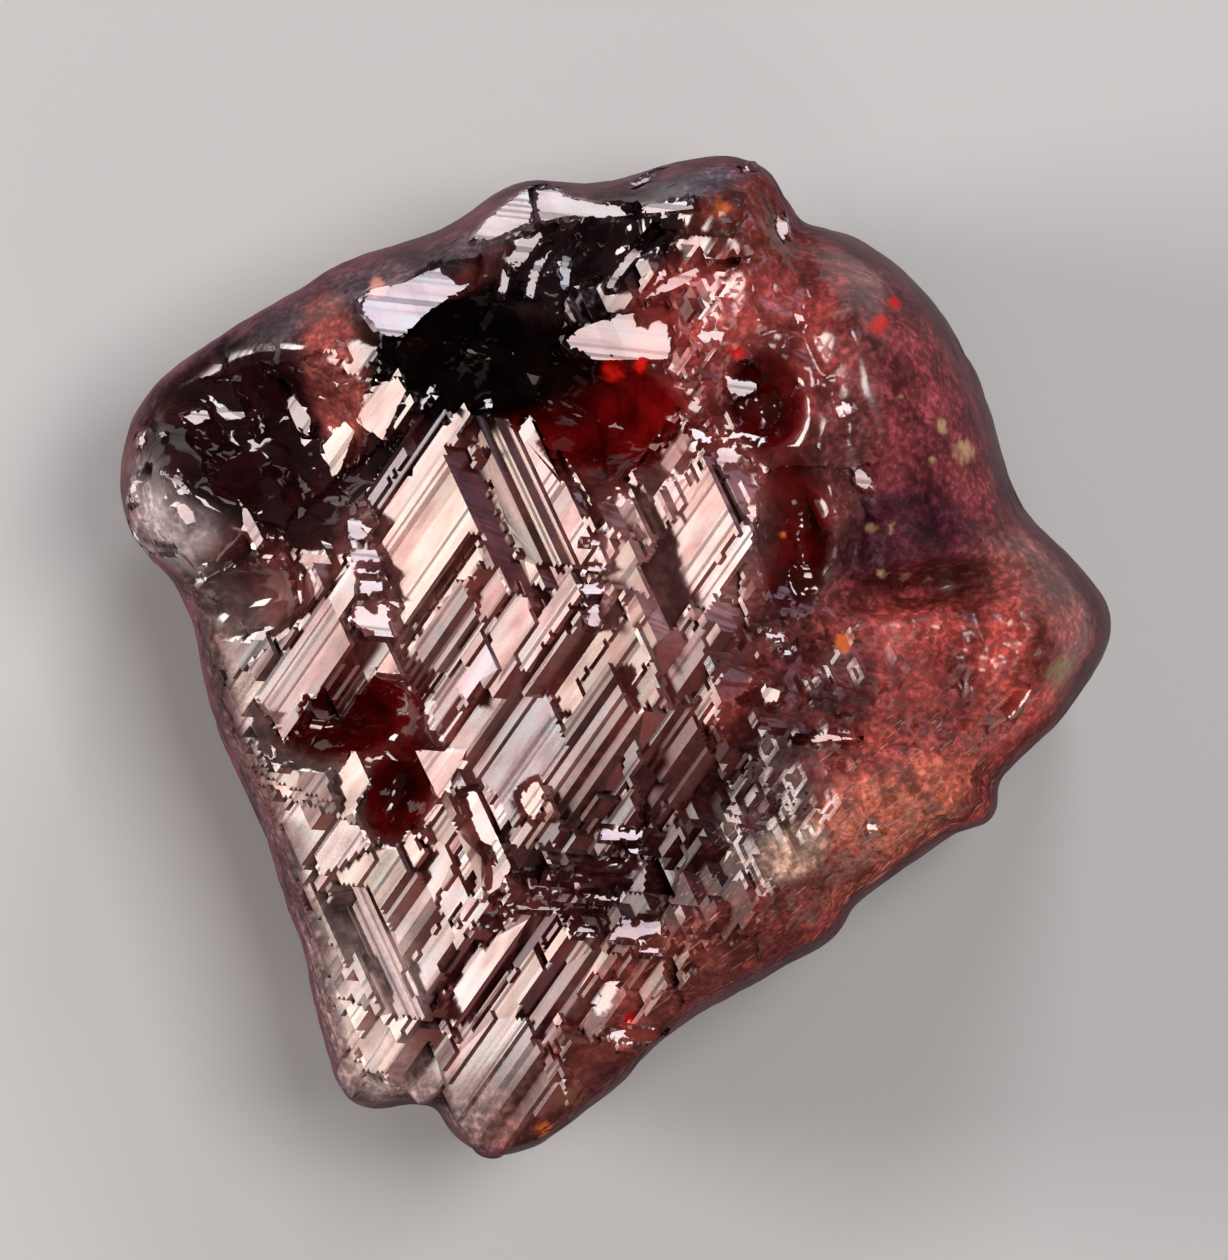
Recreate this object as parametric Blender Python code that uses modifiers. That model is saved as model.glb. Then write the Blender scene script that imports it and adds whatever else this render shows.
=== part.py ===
"""A spessartine garnet crystal, etched into steps: one solid, lying on its flat contact face.

The crystal's three-fold axis stands along Z. The solid starts as a sphere whose points are drawn to the
crystal's outline and relief. It is then turned into blocks along the crystal's own axes, so that every
step has the faces of a rhombic dodecahedron, and the glassy zones are drawn back to the smooth relief.
"""

import math

import bmesh
import bpy
import numpy as np
from mathutils import Matrix, Vector

MM = 0.001

# Driving dimensions, in millimetres and degrees.
GIRDLE_HEIGHT = 5.6  # the widest level above the contact face
APEX = (1.2, 2.0, 11.85)  # where the three upper faces would meet
KEEL = (0.3, 0.3, -1.4)  # where the three lower faces would meet, below the contact face
BLOCK = (1.10, 0.44, 0.44)  # an etched block's length along each of the crystal's three edges
EDGE_AZIMUTHS = (235.0, 355.0, 115.0)  # the way the three upper edges run down, seen from above
EDGE_DIP = math.degrees(math.asin(1.0 / 3.0))  # how steeply those edges run down
FACE_TILT = 90.0 - math.degrees(math.acos(math.sqrt(1.0 / 3.0)))  # how far the crystal's flat faces lean
FACE_SHARES = ((0.0, 0.68, 0.32), (0.5, 0.0, 0.5), (0.45, 0.55, 0.0))  # the stepped faces, made up of flat ones
FLANK_POWER = 2.6  # how square the flanks turn over
GRID_DEPTH = 6  # the block grid has 2 ** depth blocks a side
MOST_TRIALS = 30  # how often the solid may be swollen to join blocks that meet along an edge
SWELL_REACH = 0.8  # how far around such an edge it is swollen
SWELL_RISE = 0.2  # by how much
FLATNESS = 0.6  # faces closer than this many degrees to one plane are joined

# The outline seen from above, anticlockwise from the right corner.
OUTLINE = (
    (9.94, 0.60), (9.84, 1.05), (9.50, 1.55), (8.95, 2.15), (8.40, 2.65), (8.02, 3.20), (7.74, 4.00),
    (7.50, 4.90), (7.12, 5.80), (6.64, 6.70), (6.00, 7.50), (5.20, 8.15), (4.50, 8.50), (3.75, 8.68),
    (3.42, 9.10), (3.15, 9.60), (2.75, 9.88), (2.20, 10.02), (1.40, 9.95), (0.60, 9.72), (-0.20, 9.50),
    (-1.00, 9.46), (-1.75, 9.52), (-2.40, 9.30), (-2.95, 8.90), (-3.60, 8.52), (-4.60, 8.20),
    (-5.60, 7.85), (-6.40, 7.35), (-7.40, 6.78), (-8.40, 6.15), (-9.15, 5.60), (-9.66, 4.95),
    (-9.92, 4.20), (-10.0, 3.40), (-9.84, 2.60), (-9.48, 2.02), (-8.98, 1.50), (-8.58, 0.75),
    (-8.34, -0.50), (-8.02, -1.60), (-7.50, -2.70), (-7.06, -3.80), (-6.72, -4.90), (-6.36, -5.90),
    (-6.08, -7.20), (-5.78, -8.25), (-5.44, -8.92), (-4.98, -9.16), (-4.40, -9.08), (-3.86, -9.02),
    (-3.56, -9.20), (-3.34, -9.62), (-2.92, -9.94), (-2.36, -10.06), (-1.70, -9.90), (-1.10, -9.52),
    (-0.50, -9.04), (0.10, -8.58), (0.70, -7.90), (1.70, -7.16), (2.60, -6.68), (3.40, -6.22),
    (4.10, -5.86), (4.52, -5.44), (4.78, -5.00), (5.60, -4.40), (6.40, -3.84), (6.90, -3.54),
    (7.36, -3.44), (7.64, -3.10), (7.66, -2.56), (8.20, -1.98), (8.86, -1.36), (9.40, -0.62), (9.80, 0.05),
)

# How the flanks turn over, by azimuth: (azimuth, reach inwards from the outline, rise of the girdle).
FLANKS = (
    (0, 2.2, -0.6), (25, 3.0, -0.9), (60, 3.4, -0.9), (80, 1.8, 0.3), (105, 1.8, 0.7), (135, 2.0, 0.5),
    (165, 2.2, 0.2), (185, 2.0, -0.3), (215, 1.9, -0.8), (240, 1.8, -0.6), (260, 1.7, -0.2),
    (290, 1.7, 0.2), (320, 2.2, 0.0), (345, 2.2, -0.4),
)

# Swells and hollows of the upper side: (x, y, half length, half width, turned by, height, glassy).
SWELLS = (
    (-8.92, 3.1, 1.3, 1.2, 0, 0.9, True),  # the rounded nose at the left
    (-6.6, 4.2, 2.4, 1.3, -25, -1.5, True),  # glassy basin behind the nose
    (-2.7, 8.1, 2.6, 0.8, 28, 0.7, True),  # the wave along the top rim
    (0.3, 8.9, 1.6, 0.7, 8, 0.6, True),
    (-0.66, 8.1, 0.9, 0.5, 35, -0.8, True),  # the dark lens under the wave
    (-1.9, 6.0, 2.1, 1.2, 12, -1.6, True),  # the dark bowl
    (2.3, 9.0, 1.1, 1.1, 0, 0.6, False),  # knob at the top
    (-0.2, 4.7, 1.3, 1.1, -15, -1.3, True),  # the clear window above the middle
    (2.6, 4.6, 1.0, 1.2, 60, -0.6, False),  # hollows at the left of the seam
    (3.04, 5.0, 0.6, 0.8, 0, -0.7, True),
    (3.54, 2.5, 0.6, 1.3, 0, -0.7, True),
    (5.9, 4.6, 4.6, 2.5, -62, 0.7, True),  # the dome at the right
    (8.5, 0.3, 1.5, 1.2, 40, 0.7, True),  # the right corner
    (6.2, 1.35, 1.6, 0.45, 8, -1.3, True),  # the notch under the dome
    (5.4, -2.2, 3.0, 1.9, 38, 0.5, True),  # rough swell at the lower right
    (2.2, -3.0, 1.3, 1.5, 40, -0.9, False),
    (-5.48, -1.34, 1.35, 0.7, 5, -1.1, True),  # two pits in the left flank
    (-7.3, 1.1, 0.9, 0.55, 15, -0.7, True),
    (-4.32, -2.6, 0.6, 0.9, -20, -0.9, True),
    (0.2, -4.4, 2.0, 0.7, 0, -0.7, False),  # the step across the foot
    (-4.2, 3.4, 0.5, 1.4, 10, -0.6, False),  # channel beside the stepped packets
)

# The flanks are partly smoothed too, most of all at the outline.
FLANK_GLASSINESS = 0.75
FLANK_REACH = 0.7
EVENING = 16  # how many times the blocks of a glassy zone are evened out before they are smoothed

# The rough lumps of the lower right: (x, y, half length, half width, turned by), their height and spacing.
ROUGH_ZONE = (5.2, -2.2, 3.6, 2.2, 38)
LUMP_HEIGHT = 0.26
LUMP_SPACING = 1.3

# The furrow between the stepped middle and the dome.
SEAM = ((3.5, 8.8), (3.7, 7.6), (3.9, 6.2), (4.5, 4.6), (4.9, 2.8), (4.8, 1.2), (3.6, 0.1))
SEAM_WIDTH = 0.45
SEAM_DEPTH = 0.5


def block_matrix():
    """Its columns are a block's three edges, all pointing up."""
    dip = math.radians(EDGE_DIP)
    edges = []
    for azimuth, length in zip(EDGE_AZIMUTHS, BLOCK):
        turn = math.radians(azimuth)
        edge = Vector((-math.cos(turn) * math.cos(dip), -math.sin(turn) * math.cos(dip), math.sin(dip)))
        edges.append(edge * length * MM)
    return Matrix(edges).transposed().to_4x4()


def closed_curve(points, pieces):
    """Points along a smooth closed curve."""
    p = np.array(points)
    before, after, beyond = np.roll(p, 1, 0), np.roll(p, -1, 0), np.roll(p, -2, 0)
    t = np.linspace(0, 1, pieces, endpoint=False)[:, None, None]
    straight = 2 * p + (after - before) * t
    bend = (2 * before - 5 * p + 4 * after - beyond) * t**2 + (3 * p - before - 3 * after + beyond) * t**3
    return (0.5 * (straight + bend)).transpose(1, 0, 2).reshape(-1, 2)


def around(azimuth, angles, values):
    """A value by azimuth, joined all the way round."""
    order = np.argsort(angles)
    angles, values = np.asarray(angles, float)[order], np.asarray(values, float)[order]
    angles = np.concatenate([angles - 360, angles, angles + 360])
    return np.interp(azimuth % 360, angles, np.tile(values, 3))


def outline_radius(azimuth):
    """Distance from the middle to the outline."""
    curve = closed_curve(OUTLINE, 6)
    angles = np.degrees(np.arctan2(curve[:, 1], curve[:, 0])) % 360
    return around(azimuth, angles, np.hypot(curve[:, 0], curve[:, 1]))


def distance_towards(x, y, azimuth, start):
    """Distance from a start point, measured towards an azimuth."""
    turn = math.radians(azimuth)
    return (x - start[0]) * math.cos(turn) + (y - start[1]) * math.sin(turn)


def bell(x, y, swell):
    """1 in the middle of a swell and 0 beyond its rim."""
    cx, cy, long, wide, turn = swell[:5]
    u = distance_towards(x, y, turn, (cx, cy)) / long
    v = distance_towards(x, y, turn + 90, (cx, cy)) / wide
    return np.clip(1 - (u * u + v * v) / 2.2, 0, 1) ** 2


def seam_distance(x, y):
    """Distance to the line of the seam."""
    nearest = np.full(np.shape(x), 1e9)
    for (ax, ay), (bx, by) in zip(SEAM, SEAM[1:]):
        dx, dy = bx - ax, by - ay
        t = np.clip(((x - ax) * dx + (y - ay) * dy) / (dx * dx + dy * dy), 0, 1)
        nearest = np.minimum(nearest, np.hypot(x - ax - t * dx, y - ay - t * dy))
    return nearest


def lumps(x, y):
    """Irregular lumps, from waves that cross at three angles."""
    turn = 2 * math.pi / LUMP_SPACING
    first = np.sin(turn * (x + 0.35 * np.sin(turn * 0.6 * y)))
    second = np.sin(turn * 0.83 * (0.5 * x + 0.87 * y) + 1.3)
    third = np.sin(turn * 1.31 * (0.5 * x - 0.87 * y) + 2.1 * np.sin(turn * 0.4 * x))
    return LUMP_HEIGHT * (first * second + 0.5 * third)


def stepped_face_normals():
    """Normals of the three large upper faces, each a mean of the crystal's flat faces."""
    lean = math.radians(FACE_TILT)
    turns = [math.radians(azimuth) for azimuth in EDGE_AZIMUTHS]
    flat = [(-math.sin(lean) * math.cos(t), -math.sin(lean) * math.sin(t), math.cos(lean)) for t in turns]
    return np.array(FACE_SHARES) @ np.array(flat)


def upper_relief(x, y):
    """Height of the upper side away from the flanks."""
    faces = [APEX[2] - (nx * (x - APEX[0]) + ny * (y - APEX[1])) / nz for nx, ny, nz in stepped_face_normals()]
    height = np.minimum.reduce(faces)
    for swell in SWELLS:
        height = height + swell[5] * bell(x, y, swell)
    height = height + lumps(x, y) * np.clip(3 * bell(x, y, ROUGH_ZONE), 0, 1)
    return height - SEAM_DEPTH * np.exp(-((seam_distance(x, y) / SEAM_WIDTH) ** 2))


def lower_relief(x, y):
    """Height of the underside, which goes on below the contact face."""
    slope = math.tan(math.radians(EDGE_DIP))
    faces = [KEEL[2] + slope * distance_towards(x, y, azimuth + 180, KEEL) for azimuth in EDGE_AZIMUTHS]
    return np.maximum.reduce(faces)


def glassiness(x, y):
    """1 where the upper side is glassy, 0 where it is stepped."""
    share = np.zeros(np.shape(x))
    for swell in SWELLS:
        if swell[6]:
            share = np.maximum(share, np.clip(bell(x, y, swell) * 4, 0, 1))
    return share


def drawn_to_relief(points):
    """Points of the unit sphere, moved to the crystal's outline and relief."""
    azimuth = np.degrees(np.arctan2(points[:, 1], points[:, 0]))
    out = np.clip(np.hypot(points[:, 0], points[:, 1]), 0, 1)
    radius = outline_radius(azimuth)
    reach = around(azimuth, [row[0] for row in FLANKS], [row[1] for row in FLANKS])
    girdle = GIRDLE_HEIGHT + around(azimuth, [row[0] for row in FLANKS], [row[2] for row in FLANKS])
    inset = np.clip(radius * (1 - out) / reach, 0, 1)
    share = (1 - (1 - inset) ** FLANK_POWER) ** (1 / FLANK_POWER)
    x = radius * out * np.cos(np.radians(azimuth))
    y = radius * out * np.sin(np.radians(azimuth))
    relief = np.where(points[:, 2] > 0, upper_relief(x, y), lower_relief(x, y))
    return np.stack([x, y, girdle + (relief - girdle) * share], 1) * MM


def smooth_crystal(name, collection):
    """The crystal before it was etched."""
    mesh = bpy.data.meshes.new(name)
    bm = bmesh.new()
    bmesh.ops.create_uvsphere(bm, u_segments=180, v_segments=120, radius=1.0)
    bm.to_mesh(mesh)
    bm.free()
    points = np.empty(len(mesh.vertices) * 3)
    mesh.vertices.foreach_get("co", points)
    mesh.vertices.foreach_set("co", drawn_to_relief(points.reshape(-1, 3)).ravel())
    mesh.update()
    item = bpy.data.objects.new(name, mesh)
    collection.objects.link(item)
    return item


def keep_modified(item):
    """Makes the modifiers' result the object's own mesh."""
    bpy.context.view_layer.update()
    graph = bpy.context.evaluated_depsgraph_get()
    mesh = bpy.data.meshes.new_from_object(item.evaluated_get(graph))
    item.modifiers.clear()
    item.data = mesh


def etched_blocks(smooth):
    """A mesh of blocks that fills the smooth solid, with block edges along the crystal's edges."""
    axes = block_matrix()
    trial = bpy.data.objects.new("trial", smooth.data.copy())
    bpy.context.scene.collection.objects.link(trial)
    trial.data.transform(axes.inverted())
    corners = np.array([tuple(v.co) for v in trial.data.vertices])
    blocks = trial.modifiers.new("blocks", "REMESH")
    blocks.mode = "BLOCKS"
    blocks.octree_depth = GRID_DEPTH
    blocks.scale = np.ptp(corners, axis=0).max() / 2**GRID_DEPTH
    keep_modified(trial)
    mesh = trial.data
    mesh.transform(axes)
    bpy.data.objects.remove(trial)
    return mesh


def pinched_places(mesh):
    """The middles of edges where two blocks meet only along that edge."""
    bm = bmesh.new()
    bm.from_mesh(mesh)
    places = [(e.verts[0].co + e.verts[1].co) / 2 for e in bm.edges if len(e.link_faces) > 2]
    bm.free()
    return places


def swell_around(item, places):
    """Swells the solid a little around some places, so that the blocks there join."""
    for place in places:
        for vert in item.data.vertices:
            far = (vert.co - place).length / (SWELL_REACH * MM)
            if far < 1:
                vert.co = vert.co + vert.normal * (SWELL_RISE * MM * (1 - far))
    item.data.update()


def etch(item, smooth):
    """Gives the item the blocks of the smooth solid, with every pair of blocks joined by a face."""
    for _ in range(MOST_TRIALS):
        item.data = etched_blocks(smooth)
        places = pinched_places(item.data)
        print("pinched edges:", len(places))
        if not places:
            return
        swell_around(smooth, places)
    raise RuntimeError("some blocks still meet only along an edge")


def draw_glassy_zones(item, smooth):
    """Draws the glassy zones back onto the smooth relief."""
    group = item.vertex_groups.new(name="glassy")
    x, y, z = np.array([tuple(v.co) for v in item.data.vertices]).T / MM
    inset = outline_radius(np.degrees(np.arctan2(y, x))) - np.hypot(x, y)
    flank = FLANK_GLASSINESS * np.clip(1.5 - inset / FLANK_REACH, 0, 1)
    share = np.maximum(flank, np.where(z > GIRDLE_HEIGHT - 1.5, glassiness(x, y), 0))
    for index in np.flatnonzero(share > 0):
        group.add([int(index)], float(share[index]), "REPLACE")
    even = item.modifiers.new("even the blocks out", "SMOOTH")
    even.factor = 0.5
    even.iterations = EVENING
    even.vertex_group = group.name
    wrap = item.modifiers.new("glassy zones", "SHRINKWRAP")
    wrap.target = smooth
    wrap.vertex_group = group.name
    keep_modified(item)
    item.vertex_groups.clear()


def cut_contact_face(item):
    """Cuts the flat contact face at Z = 0 and joins the faces that lie in one plane."""
    bm = bmesh.new()
    bm.from_mesh(item.data)
    whole = bm.verts[:] + bm.edges[:] + bm.faces[:]
    bmesh.ops.bisect_plane(bm, geom=whole, dist=1e-7, plane_co=(0, 0, 0), plane_no=(0, 0, 1), clear_inner=True)
    rim = [edge for edge in bm.edges if edge.is_boundary]
    bmesh.ops.contextual_create(bm, geom=rim)
    bmesh.ops.remove_doubles(bm, verts=bm.verts, dist=0.00001)
    bmesh.ops.dissolve_limit(bm, angle_limit=math.radians(FLATNESS), verts=bm.verts, edges=bm.edges)
    bmesh.ops.triangulate(bm, faces=[face for face in bm.faces if len(face.verts) > 3])
    bmesh.ops.recalc_face_normals(bm, faces=bm.faces)
    bm.to_mesh(item.data)
    bm.free()


def garnet_material():
    """Clear brownish red garnet."""
    material = bpy.data.materials.new("garnet")
    material.use_nodes = True
    shader = material.node_tree.nodes["Principled BSDF"]
    shader.inputs["Base Color"].default_value = (0.30, 0.055, 0.045, 1.0)
    shader.inputs["Roughness"].default_value = 0.16
    shader.inputs["Metallic"].default_value = 0.0
    return material


def main():
    for old in list(bpy.data.objects):
        bpy.data.objects.remove(old)
    crystal = bpy.data.collections.new("spessartine garnet crystal")
    helpers = bpy.data.collections.new("helpers")
    for collection in (crystal, helpers):
        bpy.context.scene.collection.children.link(collection)

    smooth = smooth_crystal("smooth_relief", helpers)
    smooth.hide_render = True
    smooth.display_type = "WIRE"
    body = smooth_crystal("garnet_crystal", crystal)
    etch(body, smooth)
    draw_glassy_zones(body, smooth)
    cut_contact_face(body)
    body.data.materials.clear()
    body.data.materials.append(garnet_material())
    print("triangles:", len(body.data.polygons))


main()
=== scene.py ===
import math

import bmesh
import bpy
import numpy as np
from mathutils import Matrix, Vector


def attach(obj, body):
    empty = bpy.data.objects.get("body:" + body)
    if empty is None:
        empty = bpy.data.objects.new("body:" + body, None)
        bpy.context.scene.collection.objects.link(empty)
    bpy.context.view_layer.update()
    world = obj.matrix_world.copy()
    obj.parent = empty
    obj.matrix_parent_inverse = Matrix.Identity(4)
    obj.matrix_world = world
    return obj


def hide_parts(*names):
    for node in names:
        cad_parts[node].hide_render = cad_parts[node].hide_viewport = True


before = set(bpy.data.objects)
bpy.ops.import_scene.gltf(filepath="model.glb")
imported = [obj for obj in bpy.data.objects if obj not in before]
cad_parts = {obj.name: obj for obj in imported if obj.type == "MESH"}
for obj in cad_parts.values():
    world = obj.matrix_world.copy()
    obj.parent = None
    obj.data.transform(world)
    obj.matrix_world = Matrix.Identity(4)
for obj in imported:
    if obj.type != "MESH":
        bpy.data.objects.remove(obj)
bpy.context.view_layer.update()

# The stone's middle lies over the origin. Lengths are millimetres until the mesh is made.
mm = 0.001
picture = {"middleX": 618.0, "middleY": 655.0, "pixel": 0.02}

# The whole stone: its upper faces lean on the three families of flat faces in these shares.
stone = {
    "apex": (1.2, 2.0, 12.0),
    "keel": (0.3, 0.3, -1.4),
    "girdle": 5.6,
    "flankPower": 2.9,
    "highest": 12.1,
    "mostCut": 1.3,
    "mostBuilt": 0.7,
    "edgeTurns": (235.0, 355.0, 115.0),
    "edgeDip": math.degrees(math.asin(1 / 3)),
    "faceShares": ((0.0, 0.68, 0.32), (0.5, 0.0, 0.5), (0.45, 0.55, 0.0)),
    "cell": 0.1,
    "gridStep": 0.02,
    "halfWidth": 10.6,
    "packetSize": (2.6, 1.5),
    "packetRise": 0.3,
    "hillRoom": 0.3,
    "unevenness": (0.10, 1.3, 11),
    "lumps": ((0.34, 1.2, 5), (0.22, 0.5, 6), (0.10, 0.24, 8)),
    "basinWaves": ((0.16, 0.5, 21), (0.10, 0.28, 22)),
    "loose": (0.35, 0.3, 0.2, 0.08, 0.06, 0.3),
    "looseNearRim": ((0.8, 0.26), (0.4, 0.15)),
    "eveningRounds": 14,
    "mirrorReach": 0.045,
    "mirrorInset": 0.015,
    "seed": 7,
    "triangles": 185000,
}

outline = (
    (9.94, 0.60), (9.84, 1.05), (9.50, 1.55), (8.95, 2.15), (8.40, 2.65), (8.02, 3.20), (7.74, 4.00),
    (7.50, 4.90), (7.12, 5.80), (6.64, 6.70), (6.00, 7.50), (5.20, 8.15), (4.50, 8.50), (3.75, 8.68),
    (3.42, 9.10), (3.15, 9.60), (2.75, 9.88), (2.20, 10.02), (1.40, 9.95), (0.60, 9.72), (-0.20, 9.50),
    (-1.00, 9.46), (-1.75, 9.52), (-2.40, 9.30), (-2.95, 8.90), (-3.60, 8.52), (-4.60, 8.20),
    (-5.60, 7.85), (-6.40, 7.35), (-7.40, 6.78), (-8.40, 6.15), (-9.15, 5.60), (-9.66, 4.95),
    (-9.92, 4.20), (-10.0, 3.40), (-9.84, 2.60), (-9.48, 2.02), (-8.98, 1.50), (-8.58, 0.75),
    (-8.34, -0.50), (-8.02, -1.60), (-7.50, -2.70), (-7.06, -3.80), (-6.72, -4.90), (-6.36, -5.90),
    (-6.08, -7.20), (-5.78, -8.25), (-5.44, -8.92), (-4.98, -9.16), (-4.40, -9.08), (-3.86, -9.02),
    (-3.56, -9.20), (-3.34, -9.62), (-2.92, -9.94), (-2.36, -10.06), (-1.70, -9.90), (-1.10, -9.52),
    (-0.50, -9.04), (0.10, -8.58), (0.70, -7.90), (1.70, -7.16), (2.60, -6.68), (3.40, -6.22),
    (4.10, -5.86), (4.52, -5.44), (4.78, -5.00), (5.60, -4.40), (6.40, -3.84), (6.90, -3.54),
    (7.36, -3.44), (7.64, -3.10), (7.66, -2.56), (8.20, -1.98), (8.86, -1.36), (9.40, -0.62), (9.80, 0.05),
)

# By azimuth: how far in from the outline the flanks turn over, and how far the girdle rises.
flanks = (
    (0, 2.2, -0.6), (25, 3.0, -0.9), (60, 3.4, -0.9), (80, 1.8, 0.3), (105, 1.8, 0.7), (135, 2.0, 0.5),
    (165, 2.2, 0.2), (185, 2.0, -0.3), (215, 1.9, -0.8), (240, 1.8, -0.6), (260, 1.7, -0.2),
    (290, 1.7, 0.2), (320, 2.2, 0.0), (345, 2.2, -0.4),
)

# What the etching left: the kinds of surface, and the numbers of the parts that are cut on purpose.
stepKind, blockKind, crumbKind, glassKind, plateKind, packetKind = range(6)
firstPacket, firstPlate, firstMirror = 100, 200, 300
zonesOfKind, packetsOfKind = 20000, 6000

# Swells and hollows: centre x and y in pixels, half length and half width, turn, height, how glassy.
swells = {
    "nose": (172, 500, 1.3, 1.2, 0, 0.6, 1),
    "rimLeft": (325, 312, 2.2, 0.5, 31, 0.0, 1),
    "rimLow": (352, 1092, 0.6, 0.3, 0, 0.0, 1),
    "basin": (288, 445, 2.4, 1.3, -25, -1.5, 1),
    "waveLeft": (483, 250, 2.6, 0.8, 28, 0.7, 1),
    "waveRight": (633, 210, 1.6, 0.7, 8, 0.6, 1),
    "bowl": (482, 358, 1.45, 1.1, 12, -1.6, 1),
    "knob": (733, 205, 1.1, 1.1, 0, 0.6, 0.5),
    "window": (597, 421, 1.5, 1.15, -12, -1.4, 1),
    "upperRight": (748, 425, 1.0, 1.2, 60, -0.6, 0),
    "dome": (913, 425, 4.6, 2.5, -62, 0.7, 1),
    "corner": (1043, 640, 1.5, 1.2, 40, 0.7, 1),
    "notch": (928, 588, 1.6, 0.45, 8, -1.3, 1),
    "roughSwell": (888, 765, 3.0, 1.9, 38, 0.5, 0.3),
    "foot": (728, 805, 1.3, 1.5, 40, -0.9, 0),
    "redPit": (344, 722, 1.35, 0.7, 5, -1.1, 1),
    "sidePit": (253, 600, 0.9, 0.55, 15, -0.7, 1),
    "gap": (402, 785, 0.6, 0.9, -20, -0.9, 1),
    "lens": (398, 562, 0.3, 0.8, 0, -0.6, 1),
    "darkLens": (585, 250, 0.9, 0.5, 35, -0.8, 1),
    "rightHollow": (770, 405, 0.6, 0.8, 0, -0.7, 1),
    "sideHollow": (795, 530, 0.6, 1.3, 0, -0.7, 1),
    "footStep": (628, 875, 2.0, 0.7, 0, -0.7, 0),
    "channel": (408, 485, 0.5, 1.4, 10, -0.6, 0),
}

seam = {
    "path": ((793, 215), (803, 275), (813, 345), (843, 425), (863, 515), (858, 595), (798, 650)),
    "width": 0.45,
    "depth": 0.5,
}

# Rings of small waves in the glassy hollows: centre, outer radius, squash, turn, spacing, height.
ripples = {
    "waveRings": (608, 240, 2.9, 1.5, 35, 0.46, 0.055),
    "noseRings": (165, 500, 1.0, 1.0, 0, 0.36, 0.022),
}

# Small three-sided hills that the etching left: apex in pixels, and how far it stands up.
hills = (
    (600, 610, 0.35), (450, 400, 0.3), (770, 470, 0.35), (530, 890, 0.45), (440, 1060, 0.4), (600, 1040, 0.4),
    (350, 600, 0.3), (400, 740, 0.35), (700, 620, 0.3), (560, 780, 0.25), (310, 900, 0.3), (700, 380, 0.3),
)

# Studio lights: azimuth, height above the floor, distance in metres, size, brightness, colour.
lamps = {
    "warm": (174, 19.5, 0.25, (0.10, 0.10), 12.6, (1.0, 0.945, 0.93)),
    "cool": (75, 38.0, 0.25, (0.06, 0.06), 11.0, (0.95, 0.95, 1.0)),
    "mauve": (54, 19.5, 0.25, (0.06, 0.05), 2.0, (0.85, 0.7, 1.0)),
    "fill": (294, 19.5, 0.25, (0.08, 0.06), 1.9, (1.0, 0.84, 0.82)),
    "low": (300, 45.0, 0.25, (0.06, 0.05), 3.0, (1.0, 0.95, 0.95)),
    "high": (20, 74.0, 0.50, (0.16, 0.16), 11.0, (1.0, 0.98, 0.96)),
}

# Colours of the reflection that single faces give back.
white, cream, pink, grey, lilac, slate, dim, mauve, brown = (
    (1.0, 0.98, 0.96), (1.0, 0.91, 0.80), (1.0, 0.80, 0.76), (0.64, 0.58, 0.57), (0.95, 0.90, 1.0),
    (0.42, 0.48, 0.52), (0.36, 0.28, 0.30), (0.44, 0.36, 0.38), (0.40, 0.25, 0.24),
)

# Single flat faces: middle in pixels, face family, size along that family's two edges, lift, colour.
plates = {
    "brightStrip": (420, 480, 1, 3.5, 0.42, 0.16, white),
    "lozenge": (432, 534, 1, 2.7, 1.5, 0.02, cream),
    "purpleBand": (488, 520, 0, 0.55, 3.3, -0.05, dim),
    "pinkBand": (556, 490, 1, 0.5, 3.0, 0.10, pink),
    "lilacStrip": (482, 668, 1, 1.3, 0.45, 0.10, lilac),
    "paleBlock": (512, 632, 1, 1.2, 1.05, 0.0, pink),
    "creamStrip": (549, 625, 1, 2.0, 0.40, 0.14, white),
    "darkStrip": (566, 655, 2, 2.0, 0.5, -0.1, dim),
    "pinkSlab": (690, 552, 1, 2.5, 1.5, -0.3, pink),
    "slabStrip": (723, 570, 1, 2.0, 0.42, -0.14, white),
    "leftPale": (306, 668, 1, 2.5, 1.25, 0.05, grey),
    "whiteBlock": (350, 785, 1, 0.95, 0.85, 0.0, cream),
    "greySlab": (530, 757, 1, 1.9, 1.25, 0.0, slate),
    "smallCream": (412, 850, 1, 0.55, 0.7, 0.05, cream),
    "smallPale": (437, 866, 1, 0.8, 0.65, 0.0, white),
    "smallWhite": (452, 899, 1, 0.65, 0.55, 0.05, white),
    "paleBand": (431, 955, 1, 1.5, 0.5, 0.0, grey),
    "darkBandLeft": (452, 972, 2, 1.7, 0.34, -0.1, dim),
    "whiteBand": (478, 972, 1, 1.9, 0.55, 0.05, white),
    "darkBandMiddle": (499, 975, 2, 1.8, 0.26, -0.1, dim),
    "creamBand": (519, 985, 1, 1.5, 0.42, 0.05, cream),
    "darkBandRight": (541, 988, 2, 1.4, 0.4, -0.1, dim),
    "darkBandEnd": (589, 1000, 2, 1.2, 0.4, -0.1, dim),
    "bottomWhite": (424, 1076, 1, 0.9, 0.95, 0.05, white),
    "bottomCream": (350, 1076, 1, 0.6, 0.7, 0.05, cream),
    "leftCream": (392, 408, 1, 1.1, 0.8, 0.05, cream),
}

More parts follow.
